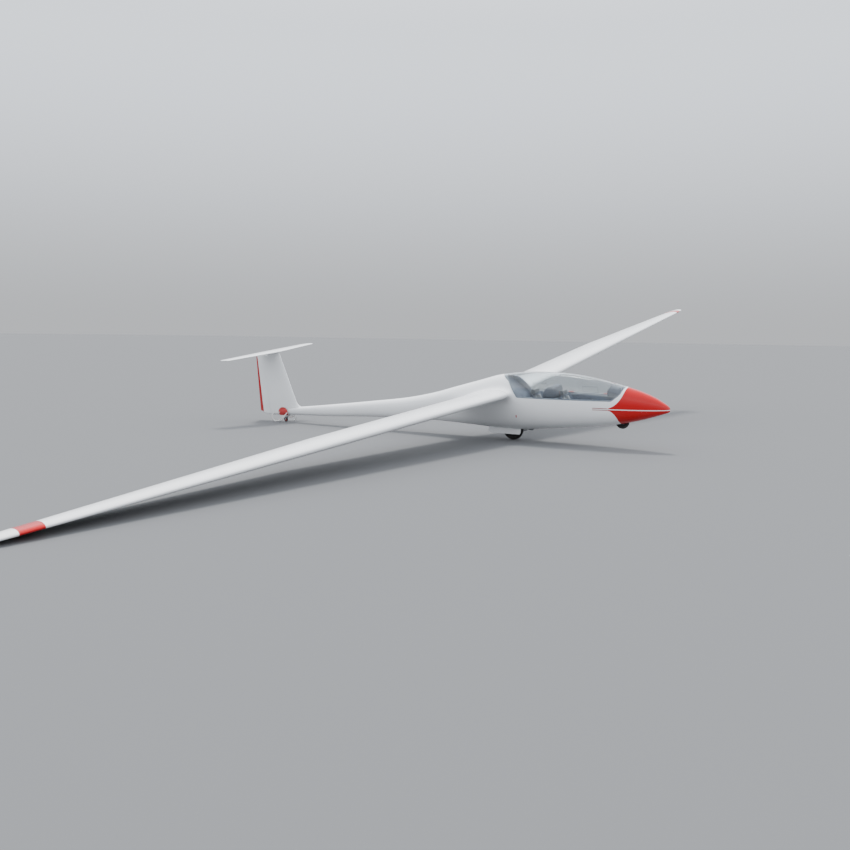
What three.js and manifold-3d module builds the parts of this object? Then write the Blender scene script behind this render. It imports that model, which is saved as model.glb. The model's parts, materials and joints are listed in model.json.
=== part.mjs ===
// A two-seat sailplane, parked with its right wing tip down and its tail on a clamped dolly.
// Millimetres. Sizes are given in the glider's own axes: +x to the nose, +y to the left wing, +z up,
// from where the main wheel meets the ground. The parked glider is then turned to station axes:
// +X aft, +Y to the right wing, +Z up.

import * as THREE from 'three';
import { mergeVertices } from 'three/addons/utils/BufferGeometryUtils.js';
import Module from 'manifold-3d';

const wasm = await Module();
wasm.setup();

// Parked attitude
const ROLL_DEG = 7.242; // right wing down
const SEAM = 0.3; // gap between pieces that touch
const CLEARANCE = 5; // gap round moving pieces

// Fuselage sections. Columns: x, top, bottom, half width, height of the widest line
const FUSELAGE = [
  [2775, 686, 670, 8, 678],
  [2757, 722, 638, 40, 678],
  [2680, 780, 606, 82, 679],
  [2540, 860, 558, 136, 680],
  [2300, 955, 484, 200, 682],
  [2050, 1026, 422, 247, 684],
  [1750, 1098, 367, 289, 690],
  [1400, 1165, 318, 322, 700],
  [1000, 1208, 277, 343, 705],
  [600, 1218, 241, 350, 705],
  [200, 1201, 206, 345, 700],
  [-200, 1148, 203, 322, 690],
  [-600, 1040, 218, 285, 660],
  [-1100, 902, 240, 240, 600],
  [-1600, 762, 254, 200, 530],
  [-2200, 640, 250, 165, 450],
  [-3030, 530, 228, 135, 382],
  [-4000, 411, 180, 105, 298],
  [-4800, 324, 158, 80, 242],
  [-5484, 268, 144, 34, 204],
];
const RING_POINTS = 32;
const UPPER_ROUND = 2.1; // superellipse powers of the section above and below its widest line
const LOWER_ROUND = 2.3;
const WALL = 18; // cockpit wall
const CUT_REACH = 500; // half width of every cutting prism through the body

// Canopy edge in side view, from the top of its rear end round to the top of its front end
const CANOPY_EDGE = [
  [-145, 1260], [-115, 1160], [50, 1070], [238, 812],
  [1885, 812], [2012, 915], [2062, 1020], [2080, 1080],
];
const CANOPY_RIM = 30; // width of the frame seen from the side
const FRAME_DEPTH = 22;
const GLASS = 6;

// Cockpit
const BULKHEAD_LEAN = [
  [-200, 1260], [-180, 1175], [-95, 1100], [51, 937], [168, 818], [240, 700], [240, 150],
];
const PANEL_THICK = 12;
const COCKPIT_FRONT = 2200;
// Seats. Columns: place, x of the top of the back, length
const SEATS = [
  ['rear', 400, 490],
  ['front', 920, 580],
];
const SEAT_PROFILE = [[30, 835], [70, 760], [170, 500], [250, 425], [380, 400], [640, 450]];
const SEAT = { thick: 16, halfWidth: 205 };
const HEADREST = [[34, 842], [6, 858], [8, 908], [36, 932], [70, 922], [76, 862]];
const HEADREST_HALF = 105;
// Instrument pods. Columns: place, half width, side-view outline
const PODS = [
  ['rear', 180, [[640, 800], [655, 905], [705, 972], [774, 1000], [862, 990], [880, 940], [880, 800]]],
  ['front', 165, [[1790, 620], [1790, 960], [1830, 1050], [2000, 1030], [2000, 900], [1850, 620]]],
];
// Control sticks. Columns: place, x, height of the foot
const STICKS = [
  ['rear', 915, 300],
  ['front', 1530, 364],
];
const STICK = { length: 290, radius: 11, boot: 44, bootHigh: 16 };
const GRIP = { length: 110, radius: 17, rise: 20, lean: 12 };
const PEDAL = {
  x: 2085, y: 95, halfWidth: 42, low: 612, high: 745, thick: 10, barReach: 190, barRadius: 9, barRise: 20,
};
const LINER = { thick: 8, fromY: 150, rear: 290, front: 1780, low: 430, high: 792 };

// Wing sections. Columns: y, chord, thickness over chord, leading edge set back
const WING = [
  [0, 1148, 0.17, 0],
  [350, 1136, 0.17, 0],
  [5110, 971, 0.165, 0],
  [9300, 462, 0.15, 0],
  [9780, 398, 0.15, 4],
  [9940, 318, 0.14, 34],
  [10000, 190, 0.12, 92],
];
const WING_LE = { x: 141, z: 864, atY: 350 };
const DIHEDRAL_DEG = 2.74;
const WING_SET_DEG = 9.55; // to the ground, in the parked attitude
const CAMBER = 0.035;
const FOIL_POINTS = 12; // on each side of a section
const EDGE_THICK = 3; // trailing edge

// Stubs of the wing roots, moulded with the fuselage and rounded into it
const ROOT = { stations: [205, 240, 270, 295, 320, 345, 375, 430], joint: 430, radius: 80, radiusAft: 35 };

// Surfaces hinged at one share of the chord. Columns: name, inner y, outer y
const HINGE_SHARE = 0.8;
const WING_SURFACES = [
  ['flap', 520, 5094],
  ['aileron', 5110, 9180],
];
const HINGE_INSET = 0.5; // how far a surface's round nose stays inside the skin
const SOCKET_GAP = 6.5; // round a nose, so that it stays clear all through its travel
const END_GAP = 7; // beside the ends of the hinged stretch
const AIRBRAKE = { y: 3400, x: -360, length: 1200, thick: 14, height: 96, slot: 112, round: 6, rise: 60 };

// Fin sections. Columns: height, leading edge x, trailing edge x, thickness over chord
const FIN = [
  [138, -5120, -5842, 0.11],
  [240, -4790, -5842, 0.1],
  [800, -4990, -5838, 0.1],
  [1440, -5211, -5832, 0.1],
];
const FIN_NOTCH = { x: -5490, z: 1352 }; // behind and above this the fin makes room for the elevator
// The foot of the fin's leading edge runs forward into the boom in a round
const FIN_FOOT = { stations: [300, 323, 330, 343, 362, 390, 430], radius: 110 };
const RUDDER_HINGE = { low: [-5528, 120], high: [-5640, 1356] };
const RUDDER_FOOT = [[-5500, 128], [-5870, 200]];
const RUDDER_SET_DEG = 3; // left as parked, trailing edge to the left

// Tailplane sections. Columns: y, chord, leading edge x, thickness over chord
const TAILPLANE = [
  [0, 490, -5168, 0.11],
  [1180, 300, -5330, 0.11],
  [1280, 235, -5352, 0.1],
  [1310, 130, -5385, 0.1],
];
const TAIL_SET_DEG = 2;
const ELEVATOR = { hingeX: -5515, hingeZ: 1430, reach: 1245, noseInset: 1 };

// Wheels. Radius and width are the tyre's, over all
const MAIN_WHEEL = { x: 0, z: 189, radius: 189, width: 140, rim: 92, sides: 30 };
const NOSE_WHEEL = { x: 1987, z: 438, radius: 115, width: 84, rim: 60, sides: 24 };
const DOLLY_WHEEL = { x: -5170, z: 47, radius: 47, width: 36, rim: 27, sides: 18 };
const TYRE = { crown: 6, flank: 0.45, bead: 0.3 }; // steps of the crown, shares of the section
// A hub's section. Columns: share of the rim's radius, share of the width; the bore and rim follow
const HUB = [[0.4, 0.36], [0.55, 0.14]];
const HUB_RIM = 0.3;
const AXLE_RADIUS = 11;
const DOLLY_AXLE = 6;
const AXLE_PLAY = 1.5;
const MAIN_LEG = { pivot: [-30, 430], gap: 12, arm: 46, thick: 12 };
const NOSE_LEG = { pivot: [1987, 576], gap: 5, arm: 24, thick: 6 };
const MAIN_WELL = { rear: -430, front: 212, halfWidth: 112, low: 100, top: 470 };
const NOSE_WELL = { length: 262, halfWidth: 58, low: 300, top: 592, wall: 8 };
const DOOR = { rear: -425, front: 205, top: 244, drop: 118, thick: 10, splayDeg: 12, y: 124 };
const TOW_HOOK = { x: 300, length: 90, halfWidth: 20, low: 190, high: 260 };

// Tail dolly
const DOLLY_PAD = { x: -5168, z: 206, halfLength: 146, halfHeight: 110, felt: 9, shell: 8, border: 16 };
const DOLLY_TUBE = { radius: 10, steps: 22 };
const CASTOR = { x: -5138, crownLow: 99, crownHigh: 107, plateLow: 109, plateHigh: 152, radius: 30 };
const FORK = { gap: 4, thick: 5, rear: 26, front: 14, foot: 12, axleReach: 8 };
// Route of the tube bow on the dolly's left side, and of the tow loop ahead of it
const DOLLY_BOW = [
  [-5270, 60, 200], [-5385, 150, 178], [-5355, 192, 85], [-5255, 200, 44],
  [-5118, 192, 76], [-5070, 150, 156], [-5060, 60, 205],
];
const DOLLY_TOW = [
  [-5130, 0, 130], [-5050, 0, 122], [-4985, 0, 124], [-4930, 0, 110],
  [-4905, 0, 80], [-4920, 0, 50], [-4960, 0, 38],
];
const STAY = { outer: [-5240, 200, 44], innerY: 20, innerZ: 128, radius: 8 };

const rad = THREE.MathUtils.degToRad;
const parked = new THREE.Group();

const paint = (color, roughness = 0.25, metalness = 0) =>
  new THREE.MeshStandardMaterial({ color, roughness, metalness });
const white = paint(0xf2f3f5);
const red = paint(0xd3121f);
const greyTrim = paint(0x6f7684, 0.8);
const darkTrim = paint(0x2f3338, 0.8);
const rubber = paint(0x17181a, 0.9);
const steel = paint(0xa9adb2, 0.35, 0.9);
const felt = paint(0xdedbd2, 0.95);
const tint = new THREE.MeshStandardMaterial({
  color: 0x8f9aa0, roughness: 0.05, transparent: true, opacity: 0.35,
});

// Keeps a geometry's positions alone, with shared corners joined
function bare(geometry) {
  const plain = geometry.clone();
  for (const name of Object.keys(plain.attributes)) if (name !== 'position') plain.deleteAttribute(name);
  return mergeVertices(plain, 1e-3);
}

function toSolid(geometry) {
  const plain = bare(geometry);
  return new wasm.Manifold(new wasm.Mesh({
    numProp: 3,
    vertProperties: new Float32Array(plain.attributes.position.array),
    triVerts: new Uint32Array(plain.index.array),
  }));
}

function toGeometry(solid) {
  const mesh = solid.getMesh();
  const geometry = new THREE.BufferGeometry();
  geometry.setAttribute('position', new THREE.BufferAttribute(new Float32Array(mesh.vertProperties), 3));
  geometry.setIndex(new THREE.BufferAttribute(new Uint32Array(mesh.triVerts), 1));
  return geometry;
}

function addPiece(name, solid, material, parent = parked) {
  const geometry = toGeometry(solid);
  geometry.computeVertexNormals();
  const mesh = new THREE.Mesh(geometry, material);
  mesh.name = name;
  parent.add(mesh);
}

// A body through closed rings of points; point i of a ring faces point (last - i), which closes its ends
function loft(rings) {
  const count = rings[0].length;
  const points = rings.flat();
  const faces = [];
  for (let r = 0; r + 1 < rings.length; r++) {
    for (let i = 0; i < count; i++) {
      const a = r * count + i;
      const b = r * count + ((i + 1) % count);
      faces.push([a, b, b + count], [a, b + count, a + count]);
    }
  }
  for (const [start, flip] of [[0, true], [(rings.length - 1) * count, false]]) {
    for (let i = 0; i + 1 < count - 1 - i; i++) {
      const [a, b, c, d] = [i, i + 1, count - 2 - i, count - 1 - i].map((k) => start + k);
      const caps = b === c ? [[a, b, d]] : [[a, b, c], [a, c, d]];
      for (const cap of caps) faces.push(flip ? cap.reverse() : cap);
    }
  }
  let volume = 0;
  for (const [a, b, c] of faces) {
    volume += points[a].dot(new THREE.Vector3().crossVectors(points[b], points[c]));
  }
  const geometry = new THREE.BufferGeometry().setFromPoints(points);
  geometry.setIndex(faces.flatMap(([a, b, c]) => (volume > 0 ? [a, b, c] : [a, c, b])));
  return toSolid(geometry);
}

function box(low, high) {
  const size = high.map((value, k) => value - low[k]);
  const geometry = new THREE.BoxGeometry(...size);
  geometry.translate(...low.map((value, k) => value + size[k] / 2));
  return toSolid(geometry);
}

// The two ends of a stretch across the body, on its left or right side, in rising order
const across = (side, from, to) => [side * from, side * to].sort((a, b) => a - b);

// A side-view outline in x and z, pushed through the body from one y to the other
function sidePrism(outline, y0 = -CUT_REACH, y1 = CUT_REACH) {
  const shape = new THREE.Shape(outline.map(([x, z]) => new THREE.Vector2(x, z)));
  const geometry = new THREE.ExtrudeGeometry(shape, { depth: y1 - y0, bevelEnabled: false });
  geometry.rotateX(Math.PI / 2);
  geometry.translate(0, y1, 0);
  return toSolid(geometry);
}

// A plan-view outline in x and y, pushed through the body from one z to the other
function planPrism(outline, z0, z1) {
  const shape = new THREE.Shape(outline.map(([x, y]) => new THREE.Vector2(x, y)));
  const geometry = new THREE.ExtrudeGeometry(shape, { depth: z1 - z0, bevelEnabled: false });
  geometry.translate(0, 0, z0);
  return toSolid(geometry);
}

// An open chain of side-view points moved sideways, to its left by a positive distance
function offsetChain(chain, distance) {
  return chain.map((point, i) => {
    const before = chain[Math.max(i - 1, 0)];
    const after = chain[Math.min(i + 1, chain.length - 1)];
    const normals = [[before, point], [point, after]]
      .filter(([a, b]) => a !== b)
      .map(([a, b]) => new THREE.Vector2(a[1] - b[1], b[0] - a[0]).normalize());
    const bisector = normals.reduce((sum, n) => sum.clone().add(n)).normalize();
    const stretch = distance / bisector.dot(normals[0]);
    return [point[0] + bisector.x * stretch, point[1] + bisector.y * stretch];
  });
}

function cone(from, to, radiusFrom, radiusTo, sides = 16) {
  const start = new THREE.Vector3(...from);
  const end = new THREE.Vector3(...to);
  const along = end.clone().sub(start);
  const geometry = new THREE.CylinderGeometry(radiusTo, radiusFrom, along.length(), sides);
  geometry.translate(0, along.length() / 2, 0);
  const turn = new THREE.Quaternion().setFromUnitVectors(new THREE.Vector3(0, 1, 0), along.normalize());
  geometry.applyQuaternion(turn);
  geometry.translate(...from);
  return toSolid(geometry);
}

const rod = (from, to, radius, sides = 12) => cone(from, to, radius, radius, sides);

function tube(points, radius, steps, sides = 8) {
  const path = new THREE.CatmullRomCurve3(points.map((p) => new THREE.Vector3(...p)));
  const section = new THREE.Shape();
  section.absarc(0, 0, radius, 0, Math.PI * 2);
  const geometry = new THREE.ExtrudeGeometry(section, { extrudePath: path, steps, curveSegments: sides / 2 });
  return toSolid(geometry);
}

const union = (solids) => solids.reduce((sum, solid) => sum.add(solid));

// A column's value at a place between the rows of a table whose first column rises
const atStation = (table, at, column) => {
  const k = Math.max(1, table.findIndex((row) => row[0] >= at));
  const share = (at - table[k - 1][0]) / (table[k][0] - table[k - 1][0]);
  return THREE.MathUtils.lerp(table[k - 1][column], table[k][column], share);
};

// Fuselage section ring at a station, its skin moved inwards by a depth
function fuselageRing([x, top, bottom, halfWidth, widest], depth) {
  const ring = [];
  for (let i = 0; i < RING_POINTS; i++) {
    const angle = ((i + 0.5) / RING_POINTS) * Math.PI * 2;
    const up = Math.cos(angle);
    const out = Math.sin(angle);
    const power = 2 / (up > 0 ? UPPER_ROUND : LOWER_ROUND);
    const height = up > 0 ? top - depth - widest : widest - bottom - depth;
    ring.push(new THREE.Vector3(
      x,
      Math.sign(out) * Math.abs(out) ** power * (halfWidth - depth),
      widest + Math.sign(up) * Math.abs(up) ** power * height,
    ));
  }
  return ring;
}

// Skin depth below zero grows the body, and then both ends move out by the same amount
function fuselageBody(depth) {
  const stations = FUSELAGE.filter(([, top, bottom]) => (top - bottom) / 2 > depth + 4);
  const rings = stations.map((station) => fuselageRing(station, depth));
  if (depth < 0) {
    for (const point of rings[0]) point.x -= depth;
    for (const point of rings[rings.length - 1]) point.x += depth;
  }
  return loft(rings);
}

const RISING_FUSELAGE = [...FUSELAGE].reverse();
const hullColumn = (x, column) => atStation(RISING_FUSELAGE, x, column);

// Half width of the hull at a height
function hullHalfWidth(x, z) {
  const [top, bottom, halfWidth, widest] = [1, 2, 3, 4].map((column) => hullColumn(x, column));
  const [reach, power] = z > widest ? [top - widest, UPPER_ROUND] : [widest - bottom, LOWER_ROUND];
  const share = Math.min(1, Math.abs(z - widest) / reach);
  return halfWidth * (1 - share ** power) ** (1 / power);
}

// How far a rounded inner corner stands off one surface, at a distance from the other
const cornerRound = (radius, distance) => {
  const away = Math.min(Math.max(distance, 0), radius);
  return radius - Math.sqrt(radius ** 2 - (radius - away) ** 2);
};

// Cambered aerofoil outline from the upper trailing edge round the nose to the lower one:
// distance behind the leading edge, and height above the chord line
function foil(chord, ratio, camber = 0) {
  const side = (up) => {
    const points = [];
    for (let i = 0; i <= FOIL_POINTS; i++) {
      const s = (1 + Math.cos((Math.PI * i) / FOIL_POINTS)) / 2;
      const shape = 0.2969 * Math.sqrt(s) - 0.126 * s - 0.3516 * s ** 2 + 0.2843 * s ** 3 - 0.1036 * s ** 4;
      const mean = camber * (1 - (2 * s - 1) ** 2);
      points.push([s * chord, (mean + up * 5 * ratio * shape) * chord + up * s * (EDGE_THICK / 2)]);
    }
    return points;
  };
  return [...side(1), ...side(-1).reverse().slice(1)];
}

// An aerofoil outline moved outwards until each of its points lies on a round into another surface.
// The clearance tells how far a point stands off that surface.
function roundedInto(outline, radiusAt, clearance) {
  const count = outline.length;
  return outline.map(([s, h], i) => {
    const before = outline[(i + count - 1) % count];
    const after = outline[(i + 1) % count];
    const out = new THREE.Vector2(after[1] - before[1], before[0] - after[0]).normalize();
    const moved = (by) => [s + out.x * by, h + out.y * by];
    const radius = radiusAt(s);
    let [low, high] = [0, radius];
    while (high - low > SEAM / 2) {
      const middle = (low + high) / 2;
      if (cornerRound(radius, clearance(...moved(middle))) > middle) low = middle;
      else high = middle;
    }
    return moved(low);
  });
}

// Half thickness of a section at a share of its chord
const halfThick = (chord, ratio, share) => {
  const upper = foil(chord, ratio).slice(0, FOIL_POINTS + 1).reverse();
  return atStation(upper, share * chord, 1);
};

// A point of the wing, s behind its leading edge and h above the chord
const wingPoint = (side, y, s, h) => new THREE.Vector3(
  WING_LE.x - s,
  side * y,
  WING_LE.z + (y - WING_LE.atY) * Math.tan(rad(DIHEDRAL_DEG)) + h - s * Math.sin(rad(WING_SET_DEG)),
);
const wingSection = (y) => foil(atStation(WING, y, 1), atStation(WING, y, 2), CAMBER);

function wingBody(side) {
  const stations = [ROOT.joint + SEAM, ...WING.map((row) => row[0]).filter((y) => y > ROOT.joint)];
  const placed = (y) => ([s, h]) => wingPoint(side, y, s + atStation(WING, y, 3), h);
  return loft(stations.map((y) => wingSection(y).map(placed(y))));
}

function rootStub(side) {
  return loft(ROOT.stations.map((y) => {
    const outline = wingSection(y);
    const chord = outline[0][0];
    const radiusAt = (s) => THREE.MathUtils.lerp(ROOT.radius, ROOT.radiusAft, s / chord);
    const clearance = (s, h) => {
      const { x, z } = wingPoint(side, y, s, h);
      return y - hullHalfWidth(x, z);
    };
    return roundedInto(outline, radiusAt, clearance).map(([s, h]) => wingPoint(side, y, s, h));
  }));
}

function wingHinge(side, y, share) {
  const chord = atStation(WING, y, 1);
  const mean = CAMBER * (1 - (2 * share - 1) ** 2) * chord;
  return {
    point: wingPoint(side, y, share * chord, mean).toArray(),
    radius: halfThick(chord, atStation(WING, y, 2), share) - HINGE_INSET,
  };
}

// Cones along a hinge line, grown all round and at both ends
function hingeCones(stations, grown) {
  const last = stations.length - 1;
  const start = new THREE.Vector3(...stations[0].point);
  const along = new THREE.Vector3(...stations[last].point).sub(start).normalize();
  const ends = stations.map(({ point, radius }, i) => {
    const shift = grown * ((i === last) - (i === 0));
    return { point: point.map((value, k) => value + along.getComponent(k) * shift), radius: radius + grown };
  });
  return union(ends.slice(1).map((end, i) => cone(ends[i].point, end.point, ends[i].radius, end.radius, 20)));
}

// Cuts a round-nosed surface out of a body along a hinge line. The zone lies behind the hinge.
const hingedSurface = (body, stations, zone, widerZone) => ({
  surface: body.intersect(zone).add(hingeCones(stations, 0)),
  rest: body.subtract(widerZone).subtract(hingeCones(stations, SOCKET_GAP)),
});

// Fin, rudder and fuselage
const finSection = (z, grown) => {
  const [front, back, ratio] = [1, 2, 3].map((column) => atStation(FIN, z, column));
  const thick = ratio * (front - back) + 2 * grown;
  const lead = z > FIN[0][0] ? cornerRound(FIN_FOOT.radius, z - hullColumn(front, 1)) : 0;
  const nose = front + grown + lead;
  const chord = nose - back + grown;
  return foil(chord, thick / chord).map(([s, h]) => new THREE.Vector3(nose - s, h, z));
};
const finBody = (grown) => {
  const stations = [...FIN.map((row) => row[0]), ...FIN_FOOT.stations].sort((a, b) => a - b);
  return loft(stations.map((z) => finSection(z, grown)));
};
const hingeAt = (z) => {
  const { low, high } = RUDDER_HINGE;
  const x = THREE.MathUtils.lerp(low[0], high[0], (z - low[1]) / (high[1] - low[1]));
  const chord = atStation(FIN, z, 1) - atStation(FIN, z, 2);
  const share = (atStation(FIN, z, 1) - x) / chord;
  return { point: [x, 0, z], radius: halfThick(chord, atStation(FIN, z, 3), share) - HINGE_INSET };
};
const rudderZone = (grown) => {
  const onHinge = (z) => [hingeAt(z).point[0], z];
  const top = FIN_NOTCH.z + grown;
  const [front, back] = RUDDER_FOOT.map(([x, z]) => [x, z - grown]);
  return sidePrism([onHinge(front[1]), back, [back[0], top], onHinge(top)]);
};
const tailSection = (side, [y, chord, front, ratio], grown) => {
  const outline = foil(chord + 2 * grown, ratio + (2 * grown) / chord);
  return outline.map(([s, h]) => {
    const x = front + grown - s;
    const z = ELEVATOR.hingeZ + h + (x - ELEVATOR.hingeX) * Math.sin(rad(TAIL_SET_DEG));
    return new THREE.Vector3(x, side * (y + grown), z);
  });
};
const tailplaneBody = (grown) => loft([
  ...TAILPLANE.slice(1).reverse().map((row) => tailSection(-1, row, grown)),
  ...TAILPLANE.map((row) => tailSection(1, row, grown)),
]);

const skin = union([fuselageBody(0), rootStub(1), rootStub(-1)]);
const rudderCut = hingedSurface(
  skin.add(finBody(0)), [hingeAt(FIN[0][0]), hingeAt(FIN_NOTCH.z)], rudderZone(0), rudderZone(200),
);
const well = box(
  [MAIN_WELL.rear, -MAIN_WELL.halfWidth, MAIN_WELL.low],
  [MAIN_WELL.front, MAIN_WELL.halfWidth, MAIN_WELL.top],
);
const noseWell = (grown) => box(
  [NOSE_WHEEL.x - NOSE_WELL.length / 2 - grown, -NOSE_WELL.halfWidth - grown, NOSE_WELL.low],
  [NOSE_WHEEL.x + NOSE_WELL.length / 2 + grown, NOSE_WELL.halfWidth + grown, NOSE_WELL.top + grown],
);
const canopyCut = (inset) => sidePrism([...offsetChain(CANOPY_EDGE, inset), [2200, 1500], [-300, 1500]]);
const cockpitSpace = (gap) => {
  const zone = sidePrism([...BULKHEAD_LEAN, [COCKPIT_FRONT, 150], [COCKPIT_FRONT, 1260]]);
  return fuselageBody(WALL + gap).intersect(zone).subtract(noseWell(NOSE_WELL.wall + gap));
};
const fuselage = rudderCut.rest
  .subtract(box([-5900, -CUT_REACH, FIN_NOTCH.z], [FIN_NOTCH.x, CUT_REACH, 1500]))
  .subtract(tailplaneBody(SEAM))
  .subtract(cockpitSpace(0))
  .subtract(canopyCut(0))
  .subtract(well)
  .subtract(noseWell(0));
for (const [place, side] of [['left', 1], ['right', -1]]) {
  const [y0, y1] = across(side, SEAM / 2, CUT_REACH + 200);
  addPiece(`fuselage_${place}`, fuselage.intersect(box([-6200, y0, 0], [3000, y1, 2000])), white);
}

// The rudder hangs on its hinge line, turned as it was parked
const rudderPivot = new THREE.Group();
const rudderFoot = new THREE.Vector3(...hingeAt(FIN[0][0]).point);
const rudderAxis = new THREE.Vector3(...hingeAt(FIN_NOTCH.z).point).sub(rudderFoot).normalize();
rudderPivot.position.copy(rudderFoot);
rudderPivot.quaternion.setFromAxisAngle(rudderAxis, rad(-RUDDER_SET_DEG));
parked.add(rudderPivot);
addPiece('rudder', rudderCut.surface.translate(rudderFoot.clone().negate().toArray()), white, rudderPivot);

// Tailplane and elevator
const elevatorHinge = [-ELEVATOR.reach, -TAILPLANE[1][0], 0, TAILPLANE[1][0], ELEVATOR.reach].map((y) => {
  const [chord, front, ratio] = [1, 2, 3].map((column) => atStation(TAILPLANE, Math.abs(y), column));
  const thick = halfThick(chord, ratio, (front - ELEVATOR.hingeX) / chord);
  return { point: [ELEVATOR.hingeX, y, ELEVATOR.hingeZ], radius: thick - ELEVATOR.noseInset };
});
const elevatorZone = (grown) => box(
  [-5900, -ELEVATOR.reach - grown, 1200],
  [ELEVATOR.hingeX, ELEVATOR.reach + grown, 1700],
);
const elevatorCut = hingedSurface(
  tailplaneBody(0), elevatorHinge, elevatorZone(0), elevatorZone(CLEARANCE),
);
addPiece('tailplane', elevatorCut.rest, white);
addPiece('elevator', elevatorCut.surface, white);

// Wings with their flaps, ailerons and airbrakes
const hingeZone = (side, from, to) => {
  const stations = [from, ...WING.map((row) => row[0]).filter((y) => y > from && y < to), to];
  const line = stations.map((y) => wingHinge(side, y, HINGE_SHARE).point);
  return planPrism([...line.map(([x, y]) => [x, y]), [-1600, side * to], [-1600, side * from]], 300, 2000);
};
const brakeBox = (side, grown, drop) => {
  const share = (WING_LE.x - AIRBRAKE.x) / atStation(WING, AIRBRAKE.y, 1);
  const { point, radius } = wingHinge(side, AIRBRAKE.y, share);
  const height = drop + AIRBRAKE.rise;
  const geometry = new THREE.BoxGeometry(AIRBRAKE.thick + 2 * grown, AIRBRAKE.length + 2 * grown, height);
  geometry.translate(0, 0, height / 2 - drop);
  geometry.rotateX(side * rad(DIHEDRAL_DEG));
  geometry.translate(AIRBRAKE.x, side * AIRBRAKE.y, point[2] + radius);
  return toSolid(geometry);
};
const hingedFrom = WING_SURFACES[0][1] - END_GAP;
const hingedTo = WING_SURFACES[WING_SURFACES.length - 1][2] + END_GAP;
for (const [place, side] of [['left', 1], ['right', -1]]) {
  const body = wingBody(side);
  let wing = body.subtract(hingeZone(side, hingedFrom, hingedTo));
  for (const [name, from, to] of WING_SURFACES) {
    const zone = hingeZone(side, from, to);
    const ends = [from, to].map((y) => wingHinge(side, y, HINGE_SHARE));
    const cut = hingedSurface(body, ends, zone, zone);
    wing = wing.intersect(cut.rest);
    addPiece(`${name}_${place}`, cut.surface, white);
  }
  addPiece(`airbrake_${place}`, body.intersect(brakeBox(side, 0, AIRBRAKE.height)), steel);
  addPiece(`wing_${place}`, wing.subtract(brakeBox(side, AIRBRAKE.round, AIRBRAKE.slot)), white);
}

// Canopy
const shellBetween = (outer, inner) => fuselageBody(outer).subtract(fuselageBody(inner));
const rimZone = canopyCut(CLEARANCE).subtract(canopyCut(CLEARANCE + CANOPY_RIM));
addPiece('canopy_frame', shellBetween(0, FRAME_DEPTH).intersect(rimZone), white);
addPiece('canopy_glass', shellBetween(0, GLASS).intersect(canopyCut(CLEARANCE + CANOPY_RIM + SEAM)), tint);

// Cockpit. Everything stays inside the walls and below the closed canopy's frame
const inside = cockpitSpace(SEAM);
const underCanopy = inside.intersect(fuselageBody(FRAME_DEPTH + CLEARANCE + 1));
const bulkhead = sidePrism([
  ...offsetChain(BULKHEAD_LEAN, SEAM), ...offsetChain(BULKHEAD_LEAN, SEAM + PANEL_THICK).reverse(),
]);
addPiece('rear_bulkhead', underCanopy.intersect(bulkhead), greyTrim);

for (const [place, x, length] of SEATS) {
  const line = SEAT_PROFILE.map(([dx, z]) => [x + Math.min(dx, length), z]);
  const outline = [...line, ...offsetChain(line, -SEAT.thick).reverse()];
  const shell = sidePrism(outline, -SEAT.halfWidth, SEAT.halfWidth);
  addPiece(`seat_${place}`, shell.intersect(underCanopy), greyTrim);
  const headrest = sidePrism(HEADREST.map(([dx, z]) => [x + dx, z]), -HEADREST_HALF, HEADREST_HALF);
  addPiece(`headrest_${place}`, headrest.intersect(underCanopy), darkTrim);
}

for (const [place, halfWidth, outline] of PODS) {
  const pod = sidePrism(outline, -halfWidth, halfWidth);
  addPiece(`instrument_pod_${place}`, pod.intersect(underCanopy), darkTrim);
}

for (const [place, x, foot] of STICKS) {
  const top = foot + STICK.length;
  const stick = union([
    rod([x, 0, foot], [x, 0, top], STICK.radius),
    rod([x, 0, top - GRIP.length], [x + GRIP.lean, 0, top + GRIP.rise], GRIP.radius),
    rod([x, 0, foot], [x, 0, foot + STICK.bootHigh], STICK.boot, 16),
  ]);
  addPiece(`stick_${place}`, stick, darkTrim);
}

const barX = PEDAL.x + PEDAL.thick / 2;
const barZ = PEDAL.low + PEDAL.barRise;
const pedals = [1, -1].map((side) => box(
  [PEDAL.x, side * PEDAL.y - PEDAL.halfWidth, PEDAL.low],
  [PEDAL.x + PEDAL.thick, side * PEDAL.y + PEDAL.halfWidth, PEDAL.high],
));
const pedalBar = rod([barX, -PEDAL.barReach, barZ], [barX, PEDAL.barReach, barZ], PEDAL.barRadius);
addPiece('rudder_pedals', union([...pedals, pedalBar]).intersect(inside), steel);

for (const [place, side] of [['left', 1], ['right', -1]]) {
  const liner = shellBetween(WALL + SEAM, WALL + SEAM + LINER.thick);
  const [y0, y1] = across(side, LINER.fromY, CUT_REACH);
  const stretch = box([LINER.rear, y0, LINER.low], [LINER.front, y1, LINER.high]);
  addPiece(`side_liner_${place}`, liner.intersect(stretch), greyTrim);
}

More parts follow.
